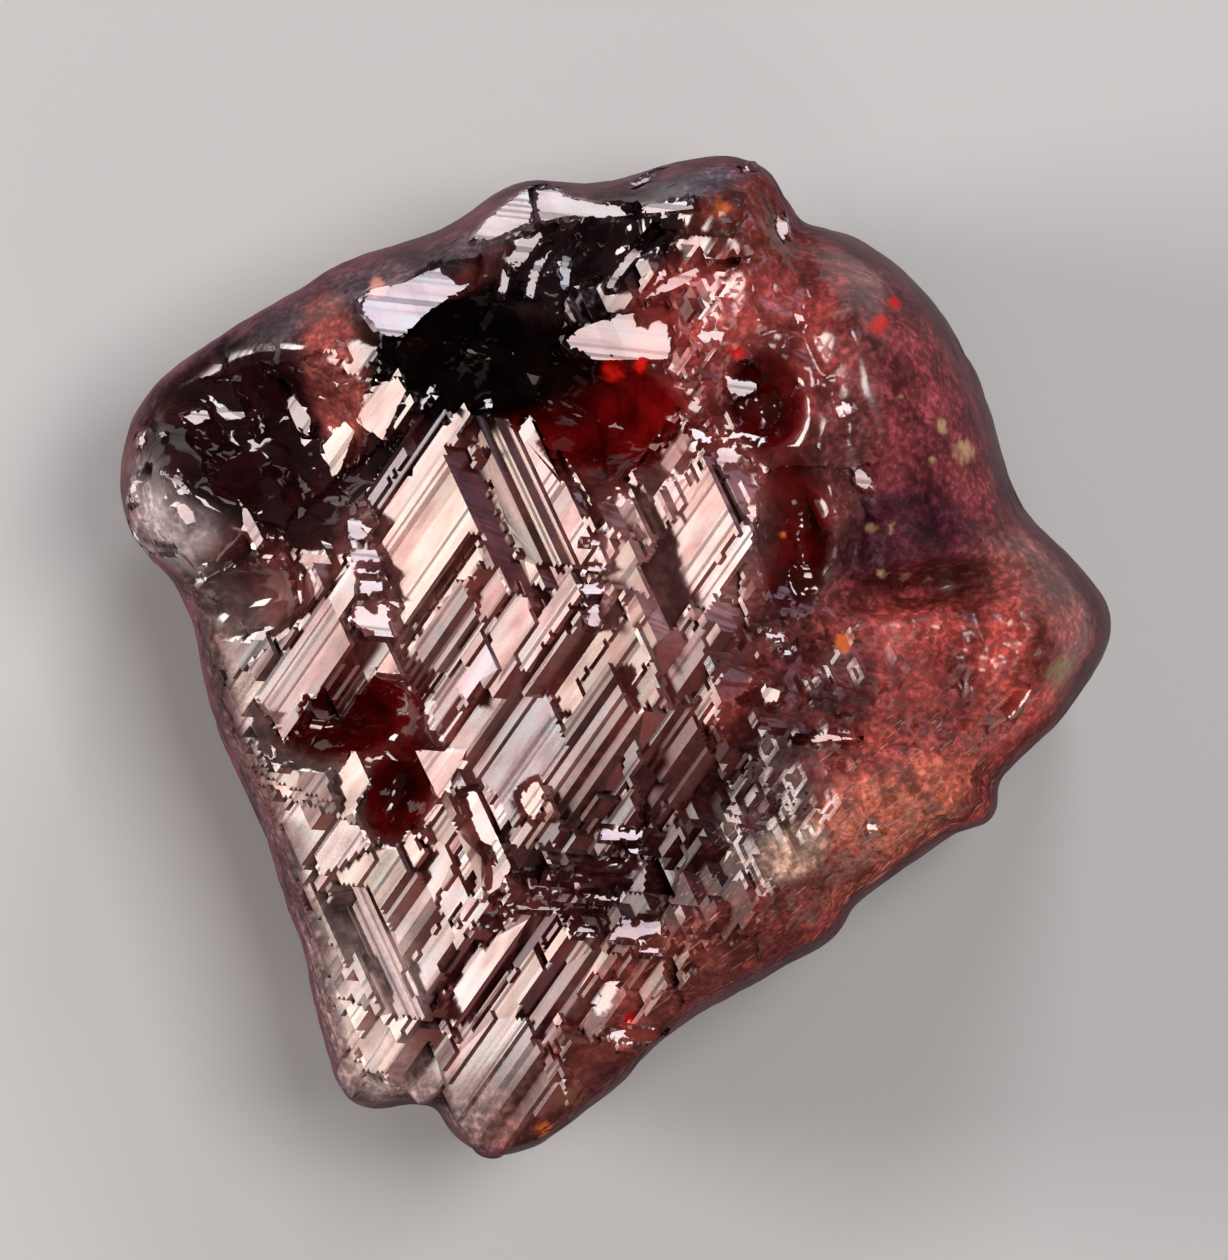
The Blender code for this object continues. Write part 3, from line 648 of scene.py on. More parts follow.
def blockMiddles(rng, count, widths):
    edges = np.cumsum(rng.choice(widths, size=count + 60)) - int(rng.integers(0, max(widths)))
    edges = np.concatenate([[-max(widths)], edges])
    index = np.searchsorted(edges, np.arange(count) + 0.5)
    return (edges[index - 1] + edges[index]) / 2


def makeCells(relief):
    edges = edgeDirections() * stone["cell"]
    toCells = np.linalg.inv(edges.T)
    # Only cells near the stone are kept.
    inside = relief["inset"] > -0.2
    px, py = relief["x"][inside], relief["y"][inside]
    points = [np.stack([px, py, np.full(px.shape, z)], 1) @ toCells.T for z in (-0.3, 12.6)]
    points = np.concatenate(points)
    low, high = np.floor(points.min(0)) - 1, np.ceil(points.max(0)) + 1
    counts = (high - low).astype(int)
    u = [low[k] + 0.5 + np.arange(counts[k]) for k in range(3)]
    grid = [u[0][:, None, None], u[1][None, :, None], u[2][None, None, :]]

    def place(cells, k):
        return edges[0, k] * cells[0] + edges[1, k] * cells[1] + edges[2, k] * cells[2]

    x, y, z = (place(grid, k).astype(np.float32) for k in range(3))
    top, bottom = look(relief, "top", x, y), look(relief, "bottom", x, y)
    loose = look(relief, "loose", x, y)
    sure = (z < top - loose) & (z > bottom + loose)
    maybe = (z < top + loose) & (z > bottom - loose) & ~sure & (top > bottom)
    index = np.array(np.nonzero(maybe))
    zone = look(relief, "zone", x[maybe], y[maybe])
    lower = z[maybe] < 0.5 * (top[maybe] + bottom[maybe])
    zone = np.where(lower, backZone, zone)
    numbers, zone = np.unique(zone, return_inverse=True)
    middles = np.zeros((3, len(numbers), max(counts)))
    for row, number in enumerate(numbers):
        rng = np.random.default_rng(stone["seed"] + int(number))
        widths = zoneWidths(int(number), rng)
        for k in range(3):
            middles[k, row, : counts[k]] = blockMiddles(rng, counts[k], widths[k]) + low[k]
    block = [middles[k, zone, index[k]] for k in range(3)]
    bx, by, bz = (place(block, k) for k in range(3))
    blockTop, blockBottom = look(relief, "top", bx, by), look(relief, "bottom", bx, by)
    solid = sure.copy()
    solid[tuple(index)] = (bz < blockTop) & (bz > blockBottom)
    return solid, low, edges, sure


# How long the etched blocks are, in cells: across the steps, and along them.
backZone = 119999
stepWidths = ((1, 1, 2), (1, 2, 2, 3), (1, 2, 3, 4), (2, 3, 4, 6), (1, 1, 2, 5))
stepLengths = (12, 20, 30, 45)
blockWidths = ((1, 2, 2, 3), (2, 3, 4), (1, 2, 4, 6))
blockLengths = (3, 5, 7, 10)


def zoneWidths(number, rng):
    if number == backZone:
        return ((3, 4, 5, 6, 8),) * 3
    if number > backZone:
        part = number - backZone
        if part >= firstPlate:
            return ((1,),) * 3
        spec = list(packets.values())[part - firstPacket]
        return [(20, 40, 60) if k == spec[2] else spec[7] for k in range(3)]
    kind, face = number // zonesOfKind, number % 3
    if kind == stepKind:
        across = stepWidths[int(rng.integers(len(stepWidths)))]
        return [stepLengths if k == face else across for k in range(3)]
    if kind == blockKind:
        across = blockWidths[int(rng.integers(len(blockWidths)))]
        return [blockLengths if k == face else across for k in range(3)]
    if kind == crumbKind:
        return ((1, 2, 2, 3),) * 3
    return ((1,),) * 3


def near(solid, axis):
    moved = np.zeros_like(solid)
    a = [slice(None)] * 3
    b = [slice(None)] * 3
    a[axis], b[axis] = slice(1, None), slice(None, -1)
    moved[tuple(a)] |= solid[tuple(b)]
    moved[tuple(b)] |= solid[tuple(a)]
    return moved


def connected(start, allowed):
    held = start & allowed
    front = held
    while True:
        grown = (near(front, 0) | near(front, 1) | near(front, 2)) & allowed & ~held
        if not grown.any():
            return held
        held = held | grown
        front = grown


def joinPinched(solid):
    # Cells that touch only along an edge are joined by filling the cell between them.
    for _ in range(12):
        changed = 0
        for first, second in ((0, 1), (0, 2), (1, 2)):
            def part(a, b):
                cut = [slice(None)] * 3
                cut[first] = slice(a, None if a else -1)
                cut[second] = slice(b, None if b else -1)
                return tuple(cut)
            a, b, c, d = (solid[part(*s)] for s in ((0, 0), (1, 0), (0, 1), (1, 1)))
            cross = a & d & ~b & ~c
            other = b & c & ~a & ~d
            changed += int(cross.sum() + other.sum())
            solid[part(1, 0)] |= cross
            solid[part(0, 0)] |= other
        if not changed:
            return


def surfaceOf(solid, low, edges):
    faces = []
    shape = np.array(solid.shape) + 1
    for axis in range(3):
        a = [slice(None)] * 3
        b = [slice(None)] * 3
        a[axis], b[axis] = slice(None, -1), slice(1, None)
        step = solid[tuple(a)].astype(np.int8) - solid[tuple(b)].astype(np.int8)
        cells = np.array(np.nonzero(step)).T
        outward = step[tuple(cells.T)] > 0
        cells[:, axis] += 1
        p, q = (axis + 1) % 3, (axis + 2) % 3
        ring = []
        for dp, dq in ((0, 0), (1, 0), (1, 1), (0, 1)):
            corner = cells.copy()
            corner[:, p] += dp
            corner[:, q] += dq
            ring.append((corner[:, 0] * shape[1] + corner[:, 1]) * shape[2] + corner[:, 2])
        ring = np.array(ring).T
        ring[~outward] = ring[~outward][:, ::-1]
        faces.append(ring)
    faces = np.concatenate(faces)
    ids, faces = np.unique(faces, return_inverse=True)
    faces = faces.reshape(-1, 4)
    k = ids % shape[2]
    j = (ids // shape[2]) % shape[1]
    i = ids // (shape[1] * shape[2])
    points = (np.stack([i, j, k], 1) + low) @ edges
    return points, faces


def evened(points, faces, share, rounds):
    pairs = np.unique(np.sort(np.concatenate([faces[:, [a, (a + 1) % 4]] for a in range(4)]), axis=1), axis=0)
    count = np.bincount(pairs.ravel(), minlength=len(points))
    for _ in range(rounds):
        total = np.stack(
            [np.bincount(pairs[:, 0], points[pairs[:, 1], k], len(points))
             + np.bincount(pairs[:, 1], points[pairs[:, 0], k], len(points)) for k in range(3)], 1)
        points = points + 0.5 * share[:, None] * (total / count[:, None] - points)
    return points


def straighten(points):
    # Corners of cells next to the outline of a mirroring face are moved onto it.
    for spec in mirrors.values():
        corners = np.array([spot(*p) for p in spec[0]])
        inside = ((points[:, :2] > corners.min(0) - 0.1) & (points[:, :2] < corners.max(0) + 0.1)).all(1)
        near = np.nonzero(inside & (points[:, 2] > stone["girdle"] + 1))[0]
        place = points[near, :2]
        after = np.roll(corners, -1, 0)
        clockwise = np.sign((after[:, 0] * corners[:, 1] - corners[:, 0] * after[:, 1]).sum())
        best, target = np.full(len(near), stone["mirrorReach"]), place.copy()
        for a, b in zip(corners, after):
            way = b - a
            t = np.clip(((place - a) @ way) / (way @ way), 0, 1)
            foot = a + t[:, None] * way
            far = np.hypot(*(place - foot).T)
            closer = far < best
            inward = clockwise * np.array((way[1], -way[0])) / math.hypot(*way)
            target[closer] = foot[closer] + stone["mirrorInset"] * inward
            best = np.minimum(best, far)
        points[near, :2] = target


def mirrorNormal(lamp):
    turn, height = lamps[lamp][:2]
    lean, turn = math.radians(45 - height / 2), math.radians(turn)
    return np.array((math.sin(lean) * math.cos(turn), math.sin(lean) * math.sin(turn), math.cos(lean)))


def bodyOf(relief, points, upward):
    x, y, z = points.T
    count = len(points)
    tint = np.tile(np.array(bodyLook["colour"]), (count, 1))
    cloud, frost = np.full(count, bodyLook["cloud"]), np.full(count, bodyLook["frost"])
    for px, py, long, wide, turn, colour, haze, etch in tintsAndPaintedShading.values():
        share = within(x, y, (px, py, long, wide, turn))
        tint += share[:, None] * (np.array(colour) - tint)
        cloud += share * (haze - cloud)
        frost += share * (etch - frost)
    inset = look(relief, "inset", x, y)
    # A thin purple line along the outline is painted rim light.
    rim = np.clip(1 - inset / bodyLook["rimWidth"], 0, 1)
    tint += 0.8 * rim[:, None] * (np.array(bodyLook["paintedRimColour"]) - tint)
    cloud = np.maximum(cloud, bodyLook["rimCloud"] * np.clip(1.6 - inset / 0.8, 0, 1))
    frost = np.maximum(frost, bodyLook["rimFrost"] * np.clip(1.6 - inset / 0.5, 0, 1))
    frost[look(relief, "part", x, y) >= firstMirror] = bodyLook["frost"]
    # Steep outer walls get a darker tint, painted shade laid by how steep they are, and a dull frost; the
    # underside is plain etched garnet.
    girdle = look(relief, "girdle", x, y)
    wall = np.clip((0.5 - upward) / 0.3, 0, 1) * np.clip(1.5 - inset / 0.5, 0, 1)
    wall *= np.clip((z - girdle + 1.5) / 1.2, 0, 1)
    tint += wall[:, None] * (np.array(bodyLook["shadedWallColour"]) - tint)
    frost += wall * (bodyLook["wallFrost"] - frost)
    below = np.clip((girdle + 1.5 - z) / 1.2, 0, 1)
    tint += below[:, None] * (np.array(bodyLook["lowColour"]) - tint)
    cloud += below * (bodyLook["lowCloud"] - cloud)
    frost += below * (1 - wall) * (bodyLook["frost"] - frost)
    # Spots: the red and orange ones are painted glints, the amber ones inclusions.
    glow, glowTint = np.zeros(count), np.zeros((count, 3))
    for px, py, radius, colour in spots:
        cx, cy = spot(px, py)
        share = np.clip(1.3 - 0.8 * np.hypot(x - cx, y - cy) / radius, 0, 1)
        glowTint = np.where((share > glow)[:, None], np.array(colour), glowTint)
        glow = np.maximum(glow, share)
    glow *= (1 - below) * (1 - wall)
    # Thin pale strokes in the lower right: painted highlights.
    highlightStroke = within(x, y, bodyLook["highlightStrokeZone"]) * (1 - below) * (1 - wall)
    glassy = look(relief, "glassy", x, y)
    return {
        "tint": tint, "glowTint": glowTint, "cloud": cloud, "frost": frost, "glow": glow, "glassy": glassy,
        "highlightStroke": highlightStroke, "wall": wall,
    }


bodyLook = {
    "colour": (0.20, 0.045, 0.040),
    "cloud": 0.65,
    "frost": 0.03,
    "paintedRimColour": (0.085, 0.055, 0.115),
    "lowColour": (0.17, 0.030, 0.028),
    "shadedWallColour": (0.13, 0.038, 0.050),
    "wallFrost": 0.75,
    "lowCloud": 0.6,
    "rimWidth": 0.3,
    "rimCloud": 0.97,
    "rimFrost": 0.9,
    "tilt": 2.6,
    "highlightStrokeZone": (830, 850, 4.0, 1.5, 38),
    "darkSheen": (1.0, 0.40, 0.37),
    "quiet": ((482, 358, 2.0, 1.2, 12), (588, 420, 1.7, 1.1, -12)),
}


def faceLooks(relief, mesh, toCells):
    count = len(mesh.polygons)
    middles, normals = np.empty(count * 3), np.empty(count * 3)
    mesh.polygons.foreach_get("center", middles)
    mesh.polygons.foreach_get("normal", normals)
    middles, normals = middles.reshape(-1, 3) / mm, normals.reshape(-1, 3)
    match = np.abs(normals @ familyNormals().T)
    family = match.argmax(1)
    flat = match.max(1) > 0.9995
    plane = np.rint((middles @ toCells.T)[np.arange(count), family])
    x, y = middles[:, :2].T
    packet, part, surface = (look(relief, name, x, y) for name in ("packet", "part", "kind"))
    # Every flat face has its own number, made from its plane, its family and its packet.
    key = (plane + 1000) * 3 + family + np.where(part > 0, part + 20000, packet) * 10000
    _, ids = np.unique(key, return_inverse=True)
    rng = np.random.default_rng(stone["seed"])
    lean = rng.normal(0, math.sin(math.radians(bodyLook["tilt"])), (ids.max() + 1, 3))[ids]
    gleam = rng.random(ids.max() + 1)[ids]
    palette = np.array((white, cream, cream, pink, grey, white))
    sheen = palette[rng.integers(0, len(palette), ids.max() + 1)][ids]
    crumbly = surface == crumbKind
    sheen[crumbly] *= (0.12 + 0.88 * rng.random(ids.max() + 1)[ids][crumbly, None] ** 4)
    sheen[family == 2] *= np.array(bodyLook["darkSheen"])
    own = {n: (spec[9], None) for n, spec in enumerate(packets.values(), firstPacket)}
    own.update({n: (spec[6], spec[2]) for n, spec in enumerate(plates.values(), firstPlate)})
    own.update({n: (spec[3], None) for n, spec in enumerate(mirrors.values(), firstMirror)})
    for number, (colour, only) in own.items():
        here = (part == number) & ((family == only) if only is not None else True)
        sheen[here] = 0.75 * np.array(colour) + 0.25 * sheen[here]
        if number >= firstPlate:
            lean[here] *= 0.3
            gleam[here] *= 0.4
    flat &= part < firstMirror
    lean[~flat] = 0
    gleam[~flat] = 0
    sheen[~flat & (part < firstMirror)] = np.array(white)
    for spec in bodyLook["quiet"]:
        share = within(x, y, spec) * (part == 0)
        sheen *= 1 - 0.8 * share[:, None]
    lines = np.zeros(count)
    for number, spec in enumerate(packets.values(), firstPacket):
        if spec[2] == 2:
            lines[part == number] = 1
    for number, spec in enumerate(mirrors.values(), firstMirror):
        flat |= (part == number) & (normals @ mirrorNormal(spec[1]) > 0.995)
    return {"lean": lean, "gleam": gleam, "lines": lines, "sheen": sheen}, flat


def placed(name, data):
    item = bpy.data.objects.new(name, data)
    bpy.context.scene.collection.objects.link(item)
    return item


def addLooks(mesh, domain, looks):
    for name, values in looks.items():
        kind = "FLOAT" if values.ndim == 1 else "FLOAT_VECTOR" if name == "lean" else "FLOAT_COLOR"
        word = {"FLOAT": "value", "FLOAT_VECTOR": "vector", "FLOAT_COLOR": "color"}[kind]
        if kind == "FLOAT_COLOR":
            values = np.concatenate([values, np.ones((len(values), 1))], 1)
        layer = mesh.attributes.new(name, kind, domain)
        layer.data.foreach_set(word, np.ascontiguousarray(values, dtype=np.float32).ravel())


def thinned(relief, mesh):
    # Fewer triangles on the smooth parts and the underside, where they are not seen.
    points = np.empty(len(mesh.vertices) * 3)
    mesh.vertices.foreach_get("co", points)
    x, y, z = points.reshape(-1, 3).T / mm
    smooth = (look(relief, "glassy", x, y) > 0.2) & (look(relief, "part", x, y) < firstMirror)
    smooth |= z < 0.5 * (look(relief, "top", x, y) + look(relief, "bottom", x, y))
    helper = placed("helper", mesh)
    group = helper.vertex_groups.new(name="smooth")
    group.add(np.nonzero(smooth)[0].tolist(), 1.0, "REPLACE")
    fewer = helper.modifiers.new("fewer", "DECIMATE")
    fewer.ratio = stone["triangles"] / len(mesh.polygons)
    fewer.vertex_group = "smooth"
    result = bpy.data.meshes.new_from_object(helper.evaluated_get(bpy.context.evaluated_depsgraph_get()))
    bpy.data.objects.remove(helper)
    bpy.data.meshes.remove(mesh)
    return result


def keepLargest(bm):
    # Closed pockets inside the stone and loose crumbs are left out.
    bm.verts.ensure_lookup_table()
    part = [0] * len(bm.verts)
    sizes = [0]
    for start in bm.verts:
        if part[start.index]:
            continue
        number = len(sizes)
        part[start.index] = number
        reached = [start]
        for vert in reached:
            for edge in vert.link_edges:
                other = edge.other_vert(vert)
                if not part[other.index]:
                    part[other.index] = number
                    reached.append(other)
        sizes.append(len(reached))
    largest = sizes.index(max(sizes))
    spare = [vert for vert in bm.verts if part[vert.index] != largest]
    bmesh.ops.delete(bm, geom=spare, context="VERTS")


def openEdges(bm):
    return [edge for edge in bm.edges if len(edge.link_faces) != 2]


def closed(mesh):
    # Faces round an edge that does not join just two of them are made again.
    bm = bmesh.new()
    bm.from_mesh(mesh)
    for _ in range(8):
        bad = openEdges(bm)
        if not bad:
            break
        faces = list({face for edge in bad for vert in edge.verts for face in vert.link_faces})
        bmesh.ops.delete(bm, geom=faces, context="FACES")
        rim = [edge for edge in bm.edges if len(edge.link_faces) == 1]
        made = bmesh.ops.holes_fill(bm, edges=rim, sides=0)["faces"]
        bmesh.ops.triangulate(bm, faces=made)
    # Two faces on the same corners close nothing in, so both go.
    twins = {}
    for face in bm.faces:
        twins.setdefault(frozenset(face.verts), []).append(face)
    doubled = [face for group in twins.values() if len(group) > 1 for face in group]
    bmesh.ops.delete(bm, geom=doubled, context="FACES")
    keepLargest(bm)
    bmesh.ops.recalc_face_normals(bm, faces=bm.faces)
    bm.to_mesh(mesh)
    bm.free()


def makeStone():
    relief = makeRelief()
    print("relief made")
    solid, low, edges, sure = makeCells(relief)
    joinPinched(solid)
    solid = connected(sure, solid)
    print("cells filled")
    points, faces = surfaceOf(solid, low, edges)

    x, y, z = points.T
    top, inset, glassy, girdle = (look(relief, name, x, y) for name in ("top", "inset", "glassy", "girdle"))
    glassy = glassy * (np.abs(z - top) < 1.2)
    low = np.clip((girdle - 0.5 - z) / 1.5, 0, 1)
    flank = np.clip(1.2 - inset / 0.3, 0, 1) * 0.8 * (1 - 0.8 * low)
    share = np.maximum(glassy, flank)
    points = evened(points, faces, share, stone["eveningRounds"])
    straighten(points)
    x, y, z = points.T
    top, part = (look(relief, name, x, y) for name in ("top", "part"))
    hold = glassy * np.clip(inset / 0.6, 0, 1) * (np.abs(z - top) < 0.8)
    mirrorHold = np.clip(inset / 0.15, 0, 1) * (np.abs(z - top) < 1.5)
    hold = np.where(part >= firstMirror, mirrorHold, hold)
    points[:, 2] += hold * (top - points[:, 2])
    points[:, 2] = np.maximum(points[:, 2], 0)
    print("surface smoothed")

    mesh = bpy.data.meshes.new("garnet")
    mesh.from_pydata((points * mm).tolist(), [], faces.tolist())
    mesh.update()
    bm = bmesh.new()
    bm.from_mesh(mesh)
    keepLargest(bm)
    bmesh.ops.dissolve_limit(bm, angle_limit=math.radians(0.6), verts=bm.verts, edges=bm.edges)
    bmesh.ops.triangulate(bm, faces=[face for face in bm.faces if len(face.verts) > 3])
    bm.to_mesh(mesh)
    bm.free()
    mesh = thinned(relief, mesh)
    closed(mesh)
    print("mesh closed,", len(mesh.polygons), "triangles")

    points = np.empty(len(mesh.vertices) * 3)
    mesh.vertices.foreach_get("co", points)
    points = points.reshape(-1, 3) / mm
    normals = np.empty(len(mesh.vertices) * 3)
    mesh.vertices.foreach_get("normal", normals)
    addLooks(mesh, "POINT", bodyOf(relief, points, normals[2::3]))
    looks, flat = faceLooks(relief, mesh, np.linalg.inv(edges.T))
    addLooks(mesh, "FACE", looks)
    mesh.polygons.foreach_set("use_smooth", ~flat)
    mesh.set_sharp_from_angle(angle=math.radians(32))
    return mesh


class Graph:
    def __init__(self, material):
        material.use_nodes = True
        self.tree = material.node_tree
        self.shader = self.tree.nodes["Principled BSDF"]
        self.output = self.tree.nodes["Material Output"]

    def add(self, kind, inputs=(), **settings):
        node = self.tree.nodes.new("ShaderNode" + kind)
        for name, value in settings.items():
            setattr(node, name, value)
        for name, value in dict(inputs).items():
            self.put(node.inputs[name], value)
        return node

    def put(self, socket, value):
        if isinstance(value, bpy.types.NodeSocket):
            self.tree.links.new(value, socket)
        else:
            socket.default_value = value

    def maths(self, operation, *values, clamp=False):
        node = self.add("Math", enumerate(values), operation=operation, use_clamp=clamp)
        return node.outputs[0]

    def blend(self, share, first, second, how="MIX"):
        node = self.add("Mix", data_type="RGBA", blend_type=how)
        for index, value in ((0, share), (6, first), (7, second)):
            self.put(node.inputs[index], value)
        return node.outputs[2]

    def ramp(self, value, low, high, start=0.0, end=1.0):
        inputs = {"Value": value, "From Min": low, "From Max": high, "To Min": start, "To Max": end}
        return self.add("MapRange", inputs, interpolation_type="SMOOTHSTEP").outputs[0]

    def layer(self, name, output="Fac"):
        return self.add("Attribute", attribute_name=name).outputs[output]

    def dot(self, first, second):
        return self.add("VectorMath", {0: first, 1: second}, operation="DOT_PRODUCT").outputs["Value"]

    def noise(self, vector, size, detail=3.0, rough=0.5):
        inputs = {"Vector": vector, "Scale": 1 / (size * mm), "Detail": detail, "Roughness": rough}
        return self.add("TexNoise", inputs).outputs["Fac"]


garnetLook = {
    "ior": 1.8,
    "glassRoughness": 0.05,
    "etchedRoughness": 0.06,
    "faceRoughness": 0.22,
    "frostRoughness": 0.5,
    "insideColour": (0.86, 0.10, 0.05, 1),
    "insideDensity": 800,
    "surfaceTint": (0.95, 0.72, 0.66, 1),
    "mottleSize": 0.9,
    "speckSize": 0.16,
    "lineSize": 0.075,
    "bandSize": 0.30,
    "lineLean": 0.06,
    "patchSize": 0.5,
    "highlightStrokeSize": 0.11,
    "highlightStrokeTurn": 38,
    "highlightStrokeColour": (0.85, 0.42, 0.28, 1),
    "grainDepth": 0.010,
}


def makeMaterial():
    material = bpy.data.materials.new("spessartine")
    g = Graph(material)
    look = garnetLook
    place = g.add("TexCoord").outputs["Object"]
    mottle = g.noise(place, look["mottleSize"], 4.0, 0.6)
    speck = g.noise(place, look["speckSize"], 2.0, 0.6)
    cloud, frost, glow, glassy = (g.layer(name) for name in ("cloud", "frost", "glow", "glassy"))

    # Colour: the zone's tint, with its painted shade and painted light, darker and lighter in patches, with
    # fine specks.
    dark = g.ramp(mottle, 0.35, 0.65, 0.5, 1.35)
    light = g.ramp(speck, 0.40, 0.75, -0.36, 0.72)
    light = g.maths("MULTIPLY", light, g.ramp(g.layer("wall"), 0.0, 1.0, 1.0, 0.35))
    light = g.maths("MULTIPLY_ADD", light, g.ramp(frost, 0.0, 0.25, 0.25, 1.0), 1.0)
    amount = g.maths("MULTIPLY", dark, light)
    grey = g.add("CombineColor", {0: amount, 1: amount, 2: amount}).outputs[0]
    body = g.blend(1.0, g.layer("tint", "Color"), grey, "MULTIPLY")
    # Thin pale strokes in the lower right: painted highlights.
    turned = {0: place, 2: (0, 0, math.radians(look["highlightStrokeTurn"])), 3: (7.0, 0.5, 1.0)}
    highlightStrokes = g.add("Mapping", turned, vector_type="TEXTURE").outputs[0]
    highlightStrokes = g.ramp(g.noise(highlightStrokes, look["highlightStrokeSize"], 2.0, 0.5), 0.61, 0.71, 0.0, 0.75)
    highlightStrokes = g.maths("MULTIPLY", highlightStrokes, g.layer("highlightStroke"))
    body = g.blend(highlightStrokes, body, look["highlightStrokeColour"])
    # The spots' red and orange are painted glints; the amber ones are inclusions.
    ragged = g.maths("MULTIPLY", g.maths("SUBTRACT", g.noise(place, 0.25), 0.5), 1.2)
    lit = g.ramp(g.maths("ADD", glow, ragged), 0.35, 1.0)
    body = g.blend(lit, body, g.layer("glowTint", "Color"))
    haze = g.maths("ADD", cloud, g.maths("MULTIPLY", g.maths("SUBTRACT", mottle, 0.5), 0.5), clamp=True)
    haze = g.maths("MAXIMUM", haze, lit, clamp=True)
    clear = g.maths("SUBTRACT", 1.0, haze)
    pure = g.ramp(clear, 0.8, 1.0)
    g.put(g.shader.inputs["Base Color"], g.blend(pure, body, look["surfaceTint"]))
    g.put(g.shader.inputs["Transmission Weight"], clear)

    # Growth lines run along the first edge direction, in some packets along the third.
    toEdges = np.linalg.inv(edgeDirections().T)
    across = [toEdges[2] + 0.37 * toEdges[1], toEdges[0] + 0.37 * toEdges[1]]
    across = {0: g.layer("lines"), 4: tuple(across[0]), 5: tuple(across[1])}
    across = g.add("Mix", across, data_type="VECTOR").outputs[1]
    along = g.dot(place, across)
    along = g.maths("MULTIPLY_ADD", g.layer("gleam"), 50 * mm, along)
    fine, broad = (
        g.add("TexVoronoi", {"W": along, "Scale": 1 / (look[size] * mm)}, voronoi_dimensions="1D")
        for size in ("lineSize", "bandSize")
    )
    fine, broad = (g.add("SeparateColor", {0: cells.outputs["Color"]}).outputs for cells in (fine, broad))

    # Gloss: glassy hollows, etched faces each with its own roughness, frosted patches.
    etched = g.maths("SUBTRACT", 1.0, glassy, clamp=True)
    rough = g.maths("MULTIPLY_ADD", etched, look["etchedRoughness"], look["glassRoughness"])
    rough = g.maths("MULTIPLY_ADD", frost, look["frostRoughness"], rough)
    rough = g.maths("MULTIPLY_ADD", g.layer("gleam"), look["faceRoughness"], rough)
    g.put(g.shader.inputs["Roughness"], rough)
    g.shader.inputs["IOR"].default_value = look["ior"]
    drift = g.dot(place, tuple(edgeDirections()[0]))
    patch = g.add("CombineXYZ", {0: along, 1: g.maths("MULTIPLY", drift, 0.3)}).outputs[0]
    patch = g.noise(patch, look["patchSize"], 2.0, 0.6)
    threads = g.maths("MULTIPLY", g.ramp(fine[0], 0.08, 0.18, 0.3, 1.0), g.ramp(broad[0], 0.0, 0.6, 0.7, 1.0))
    threads = g.maths("MULTIPLY", threads, g.ramp(patch, 0.32, 0.48, 0.72, 1.0))
    green, blue = (g.maths("MULTIPLY", threads, g.ramp(patch, 0.42, 0.62, low, 1.0)) for low in (0.80, 0.77))
    shade = g.add("CombineColor", {0: threads, 1: green, 2: blue}).outputs[0]
    lined = g.ramp(etched, 0.0, 1.0, 0.75, 1.0)
    sheen = g.layer("sheen", "Color")
    sheen = g.blend(lined, sheen, g.blend(1.0, sheen, shade, "MULTIPLY"))
    g.put(g.shader.inputs["Specular Tint"], sheen)
    g.put(g.shader.inputs["Specular IOR Level"], g.ramp(frost, 0.15, 0.75, 0.5, 0.02))

    # Frosted parts have a fine grain.
    grain = g.noise(place, 0.12, 3.0, 0.7)
    sway = g.maths("MULTIPLY", etched, look["lineLean"])
    sway = g.maths("MULTIPLY", g.maths("SUBTRACT", fine[1], 0.5), sway)
    sway = g.add("VectorMath", {0: across, "Scale": sway}, operation="SCALE").outputs[0]
    lean = g.add("VectorMath", {0: g.layer("lean", "Vector"), 1: sway}, operation="ADD").outputs[0]
    leant = g.add("NewGeometry").outputs["Normal"]
    leant = g.add("VectorMath", {0: leant, 1: lean}, operation="ADD").outputs[0]
    leant = g.add("VectorMath", {0: leant}, operation="NORMALIZE").outputs[0]
    height = g.maths("MULTIPLY", g.maths("MULTIPLY", grain, look["grainDepth"] * mm), frost)
    bump = g.add("Bump", {"Height": height, "Distance": 1.0, "Strength": 1.0, "Normal": leant}).outputs[0]
    g.put(g.shader.inputs["Normal"], bump)

    inside = g.add("VolumeAbsorption", {"Color": look["insideColour"], "Density": look["insideDensity"]})
    g.put(g.output.inputs["Volume"], inside.outputs[0])
    return material


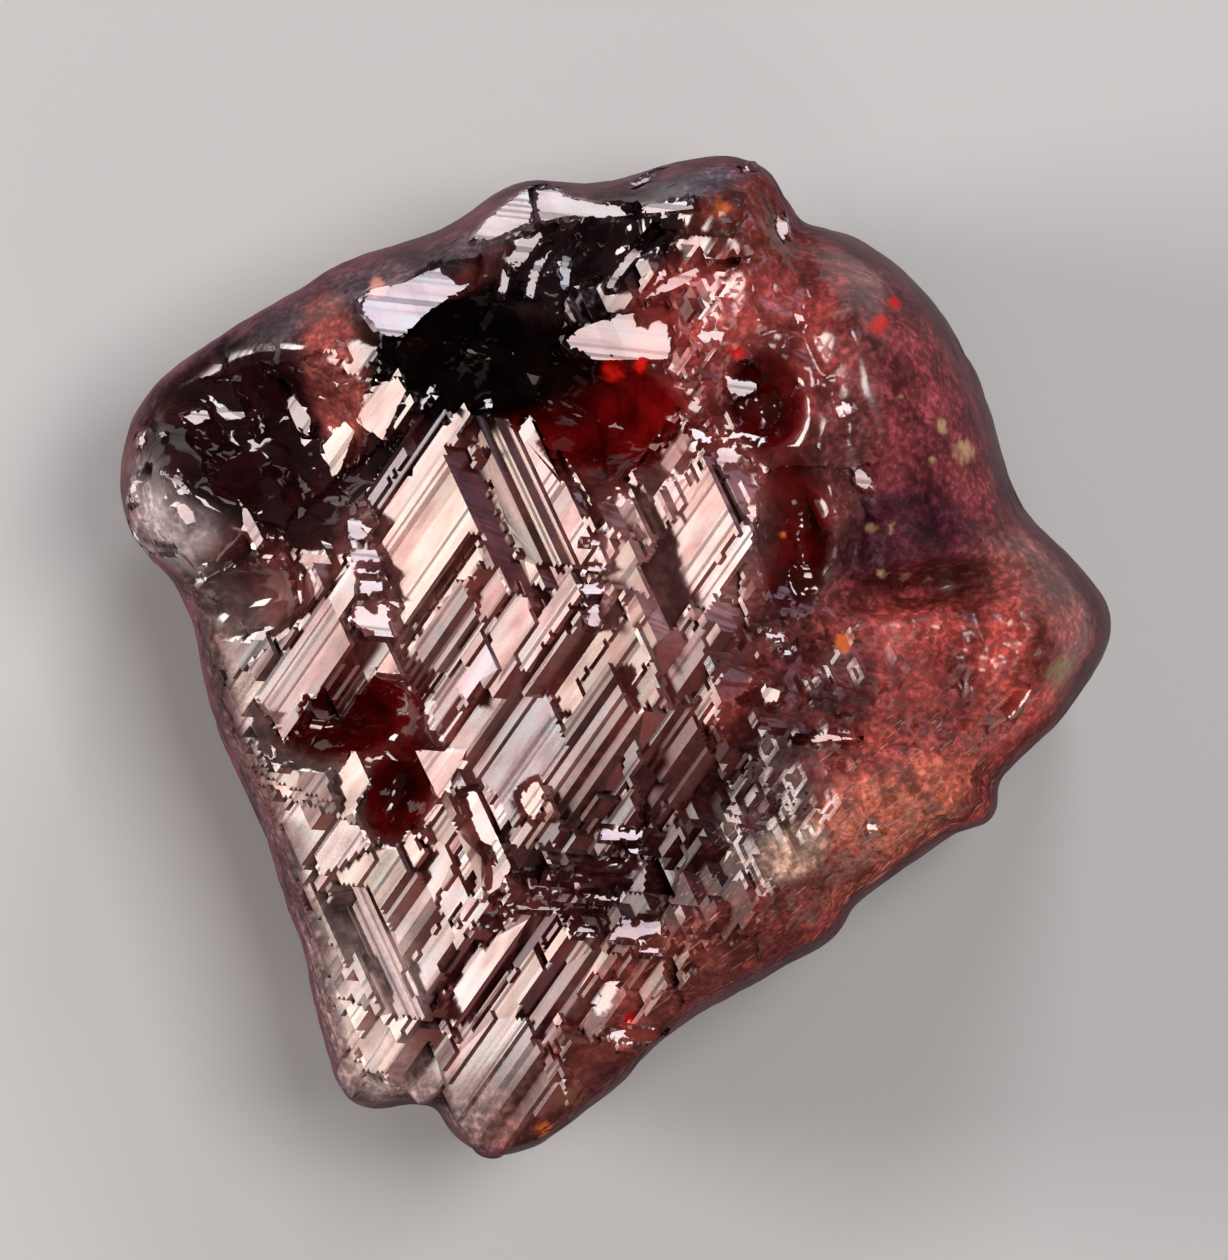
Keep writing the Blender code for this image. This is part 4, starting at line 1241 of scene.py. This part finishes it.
def softbox(name, turn, height, distance, size, radiance, colour):
    light = bpy.data.lights.new(name, "AREA")
    light.shape = "RECTANGLE"
    light.size, light.size_y = size
    light.color = colour
    light.energy = radiance * math.pi * size[0] * size[1]
    item = placed(name, light)
    a, b = math.radians(turn), math.radians(height)
    item.location = distance * Vector((math.cos(a) * math.cos(b), math.sin(a) * math.cos(b), math.sin(b)))
    item.rotation_euler = item.location.to_track_quat("Z", "Y").to_euler()


mesh = makeStone()
mesh.materials.append(makeMaterial())
crystal = placed("garnet_stone", mesh)
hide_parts("garnet_crystal")
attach(crystal, "root")

for name, values in lamps.items():
    softbox(name, *values)

# The floor, the faint light of the room, and the camera straight above.
studio = {
    "floorHalf": 2.0,
    "floorDrop": 1e-5,
    "floorColour": (0.8, 0.79, 0.78, 1),
    "floorRoughness": 0.8,
    "roomColour": (1.0, 0.95, 0.95, 1),
    "roomLight": 0.06,
    "aim": (614, 630),
    "cameraHeight": 0.36,
    "halfFrame": 12.6,
    "frameDistance": 352.0,
    "clipStart": 0.01,
}

half, drop = studio["floorHalf"], studio["floorDrop"]
floorCorners = [(x, y, -drop) for x, y in ((-half, -half), (half, -half), (half, half), (-half, half))]
floorMesh = bpy.data.meshes.new("floor")
floorMesh.from_pydata(floorCorners, [], [(0, 1, 2, 3)])
floor = placed("floor", floorMesh)
paper = bpy.data.materials.new("floor")
paper.use_nodes = True
paperLook = paper.node_tree.nodes["Principled BSDF"].inputs
paperLook["Base Color"].default_value = studio["floorColour"]
paperLook["Roughness"].default_value = studio["floorRoughness"]
floorMesh.materials.append(paper)

world = bpy.data.worlds.new("studio")
world.use_nodes = True
room = world.node_tree.nodes["Background"].inputs
room["Color"].default_value = studio["roomColour"]
room["Strength"].default_value = studio["roomLight"]
bpy.context.scene.world = world
bpy.context.scene.view_settings.view_transform = "Standard"

camera = placed("camera", bpy.data.cameras.new("camera"))
camera.location = (*(c * mm for c in spot(*studio["aim"])), studio["cameraHeight"])
camera.data.sensor_fit = "VERTICAL"
camera.data.angle_y = 2 * math.atan(studio["halfFrame"] / studio["frameDistance"])
camera.data.clip_start = studio["clipStart"]
bpy.context.scene.camera = camera
print("floor, lights and camera placed")
